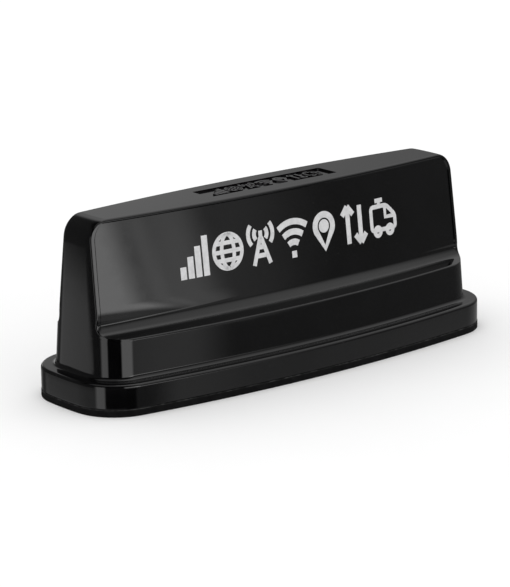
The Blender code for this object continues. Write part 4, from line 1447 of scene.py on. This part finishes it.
def sign_lines(sign: Sign) -> tuple[float, list[Line]]:
    """Stroke width and guide lines of a sign, in millimetres about its middle.

    Args:
        sign: Which sign.

    Returns:
        (width, lines); a line whose ends meet is closed.
    """
    if sign is Sign.BARS:
        return 3.0, [[(-5.7 + 3.9 * i, -8.5), (-5.7 + 3.9 * i, -3.2 + 3.9 * i)] for i in range(4)]
    if sign is Sign.FAN:
        waves = [round_arc(0.0, -6.4, r, 54.0, 126.0) for r in (4.7, 9.1, 13.5)]
        return 2.7, waves + [[(0.0, -8.5), (0.0, -5.6)]]
    if sign is Sign.GLOBE:
        half = math.sqrt(7.3 ** 2 - 3.7 ** 2)
        level = [[(-half, y), (half, y)] for y in (-3.7, 3.7)] + [[(-7.3, 0.0), (7.3, 0.0)]]
        upright = round_arc(0.0, 0.0, 3.2, 0.0, 360.0, 2.28)
        return 1.8, level + [round_arc(0.0, 0.0, 7.3, 0.0, 360.0), upright]
    if sign is Sign.PIN:
        drop = round_arc(0.0, 2.3, 5.0, -28.0, 208.0) + [(0.0, -7.4)]
        return 2.8, [drop + drop[:1], round_arc(0.0, 2.3, 1.5, 0.0, 360.0)]
    if sign is Sign.MAST:
        legs = [[(side * 4.4, -8.5), (side * 0.3, 3.0)] for side in (-1, 1)]
        ties = [[(-2.9, -4.6), (2.9, -4.6)], [(-1.7, -1.0), (1.7, -1.0)]]
        waves = [round_arc(0.0, 4.6, r, a - 40.0, a + 40.0) for r in (3.4, 6.6) for a in (0.0, 180.0)]
        return 2.0, legs + ties + waves + [[(0.0, 2.4), (0.0, 6.0)]]
    if sign is Sign.ARROWS:
        lines = []
        for turn in (-1, 1):
            shaft = [(turn * 3.6, turn * 8.0), (turn * 3.6, turn * -7.2)]
            head = [[(turn * 3.6, turn * -8.4), (turn * (3.6 + d), turn * -4.6)] for d in (-3.2, 3.2)]
            lines += [shaft] + head
        return 2.5, lines
    body = softened([(-7.2, -5.0), (-7.2, 5.4), (2.2, 5.4), (7.2, 0.6), (7.2, -5.0)], 1.6)
    wheels = [round_arc(x, -5.6, 1.8, 0.0, 360.0) for x in (-3.7, 3.7)]
    screen, dish = [(1.4, 5.4), (1.4, 0.2), (7.0, 0.2)], [(-4.4, 8.0), (0.2, 8.0)]
    return 1.9, [body, screen, dish, [(-2.1, 5.4), (-2.1, 8.0)]] + wheels


@dataclass
class Signs:
    """Row of seven plain signs: printed on the side panel and raised in the top's recess."""

    radome: Radome
    order: tuple[Sign, ...] = tuple(Sign)
    pitch: float = 17.7
    middle_x: float = 1.5
    print_z: float = 57.0
    print_proud: float = 0.05
    raised_share: float = 0.5
    raised_height: float = 0.65

    def flat_row(self, name: str, thickness: float, finish: Finish, strokes: Strokes) -> Object:
        """Row of flat signs in millimetres, in the XY plane.

        Args:
            name: Name of the result.
            thickness: Thickness of the strokes.
            finish: Their finish.
            strokes: The stroke maker.

        Returns:
            One object with every sign.
        """
        row = []
        for i, sign in enumerate(self.order):
            width, lines = sign_lines(sign)
            guide = guide_lines(name, lines, self.pitch * (i - (len(self.order) - 1) / 2))
            row.append(strokes.run(name + sign.name, guide, finish, Width=width, Thickness=thickness))
        return joined(row, name)

    def on_panel(self, strokes: Strokes) -> Object:
        """Printed signs, wrapped onto the panel at -Y.

        Args:
            strokes: The stroke maker.

        Returns:
            One object with every sign.
        """
        obj = self.flat_row("panel_signs", 2 * self.print_proud, PRINT, strokes)
        middle = self.radome.cut_radius(self.radome.height)
        for vert in obj.data.vertices:
            x, z, proud = (vert.co.x + self.middle_x) * MM, (vert.co.y + self.print_z) * MM, vert.co.z * MM
            bowed = middle - math.sqrt(middle ** 2 - x ** 2)
            vert.co = (x, -self.radome.panel_half(z) + self.radome.sink(z) + bowed - proud, z)
        return finished(obj)

    def in_recess(self, strokes: Strokes, finish: Finish) -> Object:
        """Raised signs on the floor of the recess.

        Args:
            strokes: The stroke maker.
            finish: Finish of the result.

        Returns:
            One object with every sign.
        """
        obj = self.flat_row("recess_signs", 2 * self.raised_height / self.raised_share, finish, strokes)
        floor = self.radome.height - self.radome.recess_depth
        for vert in obj.data.vertices:
            place = vert.co * self.raised_share * MM
            vert.co = (place.x, place.y, floor + place.z)
        return finished(obj)


def joined(parts: Sequence[Object], name: str) -> Object:
    """One object that holds the meshes of several, which are removed.

    Args:
        parts: Objects with the same material.
        name: Name of the result.

    Returns:
        The joined object.
    """
    bm = bmesh.new()
    for part in parts:
        bm.from_mesh(part.data)
    mesh = bpy.data.meshes.new(name)
    bm.to_mesh(mesh)
    bm.free()
    for material in parts[0].data.materials:
        mesh.materials.append(material)
    for part in parts:
        bpy.data.objects.remove(part, do_unlink=True)
    return mesh_object(name, mesh)


def finished(obj: Object) -> Object:
    """Weld an object's mesh, point its faces outwards and shade its edges hard.

    Args:
        obj: Object with a closed mesh.

    Returns:
        The same object.
    """
    bm = bmesh.new()
    bm.from_mesh(obj.data)
    bmesh.ops.remove_doubles(bm, verts=bm.verts, dist=WELD)
    bmesh.ops.recalc_face_normals(bm, faces=bm.faces)
    bm.to_mesh(obj.data)
    bm.free()
    obj.data.shade_smooth()
    obj.data.set_sharp_from_angle(angle=HARD_EDGE_SMALL)
    return obj


# ---- gasket and fasteners ----
def foot_of(node: str) -> Vector:
    """Middle of the underside of a CAD node's box."""
    low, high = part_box(node)
    return Vector(((low.x + high.x) / 2, (low.y + high.y) / 2, low.z))


def numbered(name: str, count: int) -> list[str]:
    """Names of a row of CAD nodes, counted from 1."""
    return [f"{name}_{i + 1}" for i in range(count)]


@dataclass
class Gasket:
    """Foam gasket with softly pressed edges, open at the connector bay and at the roof inserts."""

    plan: BowedPlan = BowedPlan()
    half_l: float = 110.0 * MM
    half_w: float = 36.7 * MM
    thickness: float = 3.2 * MM
    edge_r: float = 0.35 * MM
    bay: tuple[float, float, float] = (65.6 * MM, 27.6 * MM, 4.0 * MM)
    insert_count: int = 4
    insert_hole_d: float = 9.0 * MM
    past: float = 1.0 * MM
    edge_steps: int = 5
    hole_steps: int = 48

    def build(self) -> Object:
        """Outline with rounded edges, then the openings.

        Returns:
            The gasket.
        """
        rings = []
        for angle in spaced(0.0, QUARTER, self.edge_steps):
            ring = self.plan.ring(self.half_l, self.half_w, self.edge_r * (1 - math.sin(angle)))
            rings.append((ring, self.edge_r * (1 - math.cos(angle))))
        upper = [(ring, self.thickness - z) for ring, z in reversed(rings)]
        gasket = mesh_object("foam_gasket", skin("foam_gasket", rings + upper))
        holes = [self.hole(foot_of(node)) for node in numbered("roof_insert", self.insert_count)]
        for ring in [rounded_box(*self.bay)] + holes:
            tool = skin("opening", [(ring, -self.past), (ring, self.thickness + self.past)])
            gasket = cut(gasket, tool)
        return weighted(gasket)

    def hole(self, foot: Vector) -> Ring:
        """Round opening over an insert."""
        angles = spaced(0.0, 4 * QUARTER, self.hole_steps)[:-1]
        return [on_circle(foot.xy, self.insert_hole_d / 2, angle) for angle in angles]


@dataclass
class Fasteners:
    """Screws from below that hold the radome, and the threads of the jacks."""

    screw_nodes: tuple[str, ...] = tuple(numbered("radome_screw", 8))
    screw_head: float = 1.5 * MM
    jack_nodes: tuple[str, ...] = tuple(numbered("antenna_jack", 5))
    thread_start: float = 0.8 * MM
    thread_d: float = 6.1 * MM

    def screws(self, finish: Finish) -> Object:
        """All radome screws, heads down, where the frame has them.

        Args:
            finish: Their finish.

        Returns:
            One object with every screw.
        """
        guide = guide_points("radome_screws", [foot_of(node) for node in self.screw_nodes])
        low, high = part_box(self.screw_nodes[0])
        shank = high.z - low.z - self.screw_head
        return finished(Screws().run("radome_screws", guide, finish, Shank_length=shank))

    def threads(self, finish: Finish) -> Object:
        """Thread ridges round every jack, below its nut.

        Args:
            finish: Their finish.

        Returns:
            One object with every ridge.
        """
        rise = Vector((0.0, 0.0, self.thread_start))
        guide = guide_points("jack_threads", [foot_of(node) + rise for node in self.jack_nodes])
        return finished(Ridges().run("jack_threads", guide, finish, Diameter=self.thread_d))


# ---- stage ----
@dataclass(frozen=True)
class SoftBox:
    """Soft light panel in the studio, as the gloss sees it.

    Directions are in degrees: azimuth from -X towards -Y, elevation from the level.
    """

    azimuth: tuple[float, float]
    elevation: tuple[float, float]
    strength: float
    azimuth_edge: tuple[float, float] = (3.0, 3.0)
    elevation_edge: tuple[float, float] = (3.0, 3.0)
    both_sides: bool = True
    slant: float = 0.0

    def light(self, graph: Graph, signed: Socket, folded: Socket, height: Socket) -> Socket:
        """Brightness of the panel in a direction.

        Args:
            graph: The world's tree.
            signed: Azimuth, -180 to 180.
            folded: Azimuth without its sign.
            height: Elevation.

        Returns:
            Brightness.
        """
        turn = folded if self.both_sides else signed
        if self.slant:
            turn = graph.math("ADD", turn, graph.times(height, self.slant))
        result = self.strength
        for value, span, edge in ((turn, self.azimuth, self.azimuth_edge),
                                  (height, self.elevation, self.elevation_edge)):
            rise = graph.ease(value, span[0] - edge[0], span[0] + edge[0])
            fall = graph.ease(value, span[1] - edge[1], span[1] + edge[1], 1.0, 0.0)
            result = graph.times(graph.times(rise, fall), result)
        return result


@dataclass(frozen=True)
class Studio:
    """Pale floor and soft surround; the gloss sees separate soft boxes in a dark room."""

    floor_half: float = 6.0
    surround: float = 1.0
    overhead: float = 0.35
    overhead_spread: float = 70.0
    overhead_lean: tuple[float, float, float] = (-12.0, -10.0, 0.0)
    boxes: tuple[SoftBox, ...] = (
        SoftBox((4.0, 25.0), (-60.0, 20.0), 1.38, (5.0, 3.0), both_sides=False),
        SoftBox((-110.0, 8.0), (-60.0, 42.0), 0.085, (10.0, 10.0), (3.0, 6.0), both_sides=False),
        SoftBox((-75.0, 4.0), (-60.0, -16.0), 0.30, (8.0, 6.0), (3.0, 1.2), both_sides=False),
        SoftBox((69.0, 104.0), (-13.5, 24.0), 1.85, (3.0, 5.0), (1.5, 8.0), both_sides=False),
        SoftBox((96.0, 120.0), (-60.0, -14.0), 0.14, (4.0, 4.0), (3.0, 1.5)),
        SoftBox((25.0, 72.0), (-60.0, -19.5), 0.55, (4.0, 6.0), (3.0, 1.2)),
        SoftBox((25.0, 72.0), (-15.0, -11.6), 0.45, (4.0, 6.0), (1.0, 0.8)),
        SoftBox((-200.0, 200.0), (58.0, 100.0), 0.45, (3.0, 3.0), (6.0, 3.0)),
        SoftBox((104.0, 118.0), (-13.5, -6.5), 0.42, (4.0, 3.0), (1.5, 1.5), both_sides=False),
        SoftBox((100.0, 112.1), (-6.5, 14.0), 2.75, (5.0, 0.9), (1.5, 5.0), both_sides=False, slant=0.9),
        SoftBox((112.1, 114.4), (-7.0, 14.0), 0.92, (0.6, 0.8), (1.5, 5.0), slant=0.9),
        SoftBox((114.0, 118.4), (-7.0, 14.0), 0.80, (0.8, 1.6), (1.5, 5.0), slant=0.9),
        SoftBox((117.0, 128.0), (-6.5, 14.0), 0.26, (2.0, 5.0), (2.5, 5.0)),
        SoftBox((113.0, 190.0), (-60.0, -14.0), 0.34, (2.0, 5.0), (3.0, 2.0)),
        SoftBox((110.0, 190.0), (-14.0, 100.0), 0.15, (4.0, 5.0), (2.0, 3.0)),
        SoftBox((-190.0, -108.0), (4.0, 40.0), 0.08, (4.0, 6.0), (3.0, 6.0), both_sides=False),
        SoftBox((112.0, 190.0), (28.0, 100.0), 0.76, (12.0, 5.0), (20.0, 6.0)),
    )

    def build(self) -> Object:
        """Make the floor and the world.

        Returns:
            The floor.
        """
        world = bpy.data.worlds.new("studio")
        bpy.context.scene.world = world
        world.use_nodes = True
        graph = Graph(world.node_tree)
        background = world.node_tree.nodes["Background"]
        graph.feed(background.inputs["Color"], self.light(graph))
        bpy.context.scene.view_settings.view_transform = "Standard"
        self.key_light()
        return self.floor()

    def key_light(self) -> Object:
        """Broad soft light from above, which gives the floor its tone and a soft contact shadow.

        Returns:
            The light.
        """
        light = bpy.data.lights.new("overhead", "SUN")
        light.energy = self.overhead
        light.angle = math.radians(self.overhead_spread)
        obj = bpy.data.objects.new("overhead", light)
        bpy.context.scene.collection.objects.link(obj)
        obj.rotation_euler = [math.radians(lean) for lean in self.overhead_lean]
        obj.visible_glossy = False
        return obj

    def light(self, graph: Graph) -> Socket:
        """Soft boxes for reflections, an even pale surround for everything else.

        Args:
            graph: The tree that is being built.

        Returns:
            Colour of the world in a direction.
        """
        way = graph.add("ShaderNodeTexCoord").outputs["Generated"]
        x, y, z = graph.add("ShaderNodeSeparateXYZ", Vector=way).outputs
        turned = graph.math("ARCTAN2", graph.times(y, -1.0), graph.times(x, -1.0))
        signed = graph.math("DEGREES", turned)
        folded = graph.math("ABSOLUTE", signed)
        height = graph.math("DEGREES", graph.math("ARCSINE", z))
        total = 0.0
        for box in self.boxes:
            total = graph.math("ADD", total, box.light(graph, signed, folded, height))
        gloss = graph.add("ShaderNodeLightPath").outputs["Is Glossy Ray"]
        even = (self.surround, self.surround, self.surround, 1.0)
        return graph.blend(gloss, even, total)

    def floor(self) -> Object:
        """Wide pale floor that the gloss doesn't see.

        Returns:
            The floor.
        """
        half = self.floor_half
        mesh = bpy.data.meshes.new("floor")
        corners = [(-half, -half, 0.0), (half, -half, 0.0), (half, half, 0.0), (-half, half, 0.0)]
        mesh.from_pydata(corners, [], [(0, 1, 2, 3)])
        floor = mesh_object("floor", mesh)
        finish = Finish("pale floor", (0.93, 0.93, 0.93), (0.95, 0.95, 0.95), (0.9, 1.0), mottle=0.002,
                        bump=Bump(0.01, 0.1, 0.5, 0.01, 0.0))
        finish.dress(floor)
        shader = finish.material().node_tree.nodes["Principled BSDF"]
        shader.inputs["Specular IOR Level"].default_value = 0.0
        floor.visible_glossy = False
        return floor


@dataclass(frozen=True)
class CameraSetup:
    """Long lens that looks down on the left end of the body."""

    azimuth: float = -39.42
    elevation: float = 14.51
    roll: float = -0.71
    distance: float = 1.2496
    target_z: float = 0.040
    lens_mm: float = 176.53
    sensor_mm: float = 36.0
    shift_x: float = -0.01964
    shift_y: float = -0.04061

    def build(self) -> Object:
        """Make the camera and set it as the scene's.

        Returns:
            The camera.
        """
        az, el, roll = (math.radians(a) for a in (self.azimuth, self.elevation, self.roll))
        back = Vector((math.sin(az) * math.cos(el), -math.cos(az) * math.cos(el), math.sin(el)))
        right = Vector((math.cos(az), math.sin(az), 0.0))
        up = back.cross(right)
        turned_right = right * math.cos(roll) + up * math.sin(roll)
        turned_up = up * math.cos(roll) - right * math.sin(roll)
        data = bpy.data.cameras.new("camera")
        data.lens = self.lens_mm
        data.sensor_width = self.sensor_mm
        data.shift_x, data.shift_y = self.shift_x, self.shift_y
        camera = bpy.data.objects.new("camera", data)
        bpy.context.scene.collection.objects.link(camera)
        place = Matrix((turned_right, turned_up, back)).transposed().to_4x4()
        place.translation = Vector((0.0, 0.0, self.target_z)) + back * self.distance
        camera.matrix_world = place
        bpy.context.scene.camera = camera
        return camera


# ---- assembly ----
@dataclass
class Antenna:
    """Whole antenna: the visible skin and fasteners in full detail, the rest in its own finishes."""

    radome: Radome = field(default_factory=Radome)
    gasket: Gasket = field(default_factory=Gasket)
    fasteners: Fasteners = field(default_factory=Fasteners)
    finish_of: dict[Slot, Finish] = field(default_factory=finishes)

    def add(self, piece: Object, slot: Slot | None, *nodes: str) -> None:
        """Put a finished piece on the body, in its finish, in place of its CAD nodes.

        Args:
            piece: The piece.
            slot: Slot of its finish; None leaves the material that it has.
            *nodes: CAD nodes that it stands for.
        """
        if slot is not None:
            self.finish_of[slot].dress(piece)
        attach(piece, BODY)
        if nodes:
            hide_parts(*nodes)
        LOG.info("%s: %d faces", piece.name, len(piece.data.polygons))

    def dress_frame(self) -> None:
        """Give every CAD node that stays the finish of its slot."""
        for part in frame["record"]["subparts"]:
            obj = frame["nodes"][part["node"]]
            if not obj.hide_render:
                self.finish_of[Slot(part["material_slot"])].dress(obj)
                LOG.info("%s: %s", part["node"], part["material_slot"])

    def build(self) -> None:
        """Build every piece in order."""
        self.add(self.radome.build(), Slot.RADOME, "radome")
        self.add(self.gasket.build(), Slot.FOAM, "roof_gasket")
        self.add(self.fasteners.screws(self.finish_of[Slot.STEEL]), Slot.STEEL,
                 *self.fasteners.screw_nodes)
        self.add(self.fasteners.threads(self.finish_of[Slot.GOLD]), Slot.GOLD)
        strokes, signs = Strokes(), Signs(self.radome)
        self.add(signs.on_panel(strokes), None)
        self.add(signs.in_recess(strokes, self.finish_of[Slot.RADOME]), Slot.RADOME)
        self.dress_frame()


def main() -> None:
    """Set up logging, then build the antenna, the studio and the camera."""
    logging.basicConfig(level=logging.INFO)
    Antenna().build()
    Studio().build()
    CameraSetup().build()


if __name__ == "__main__":
    main()
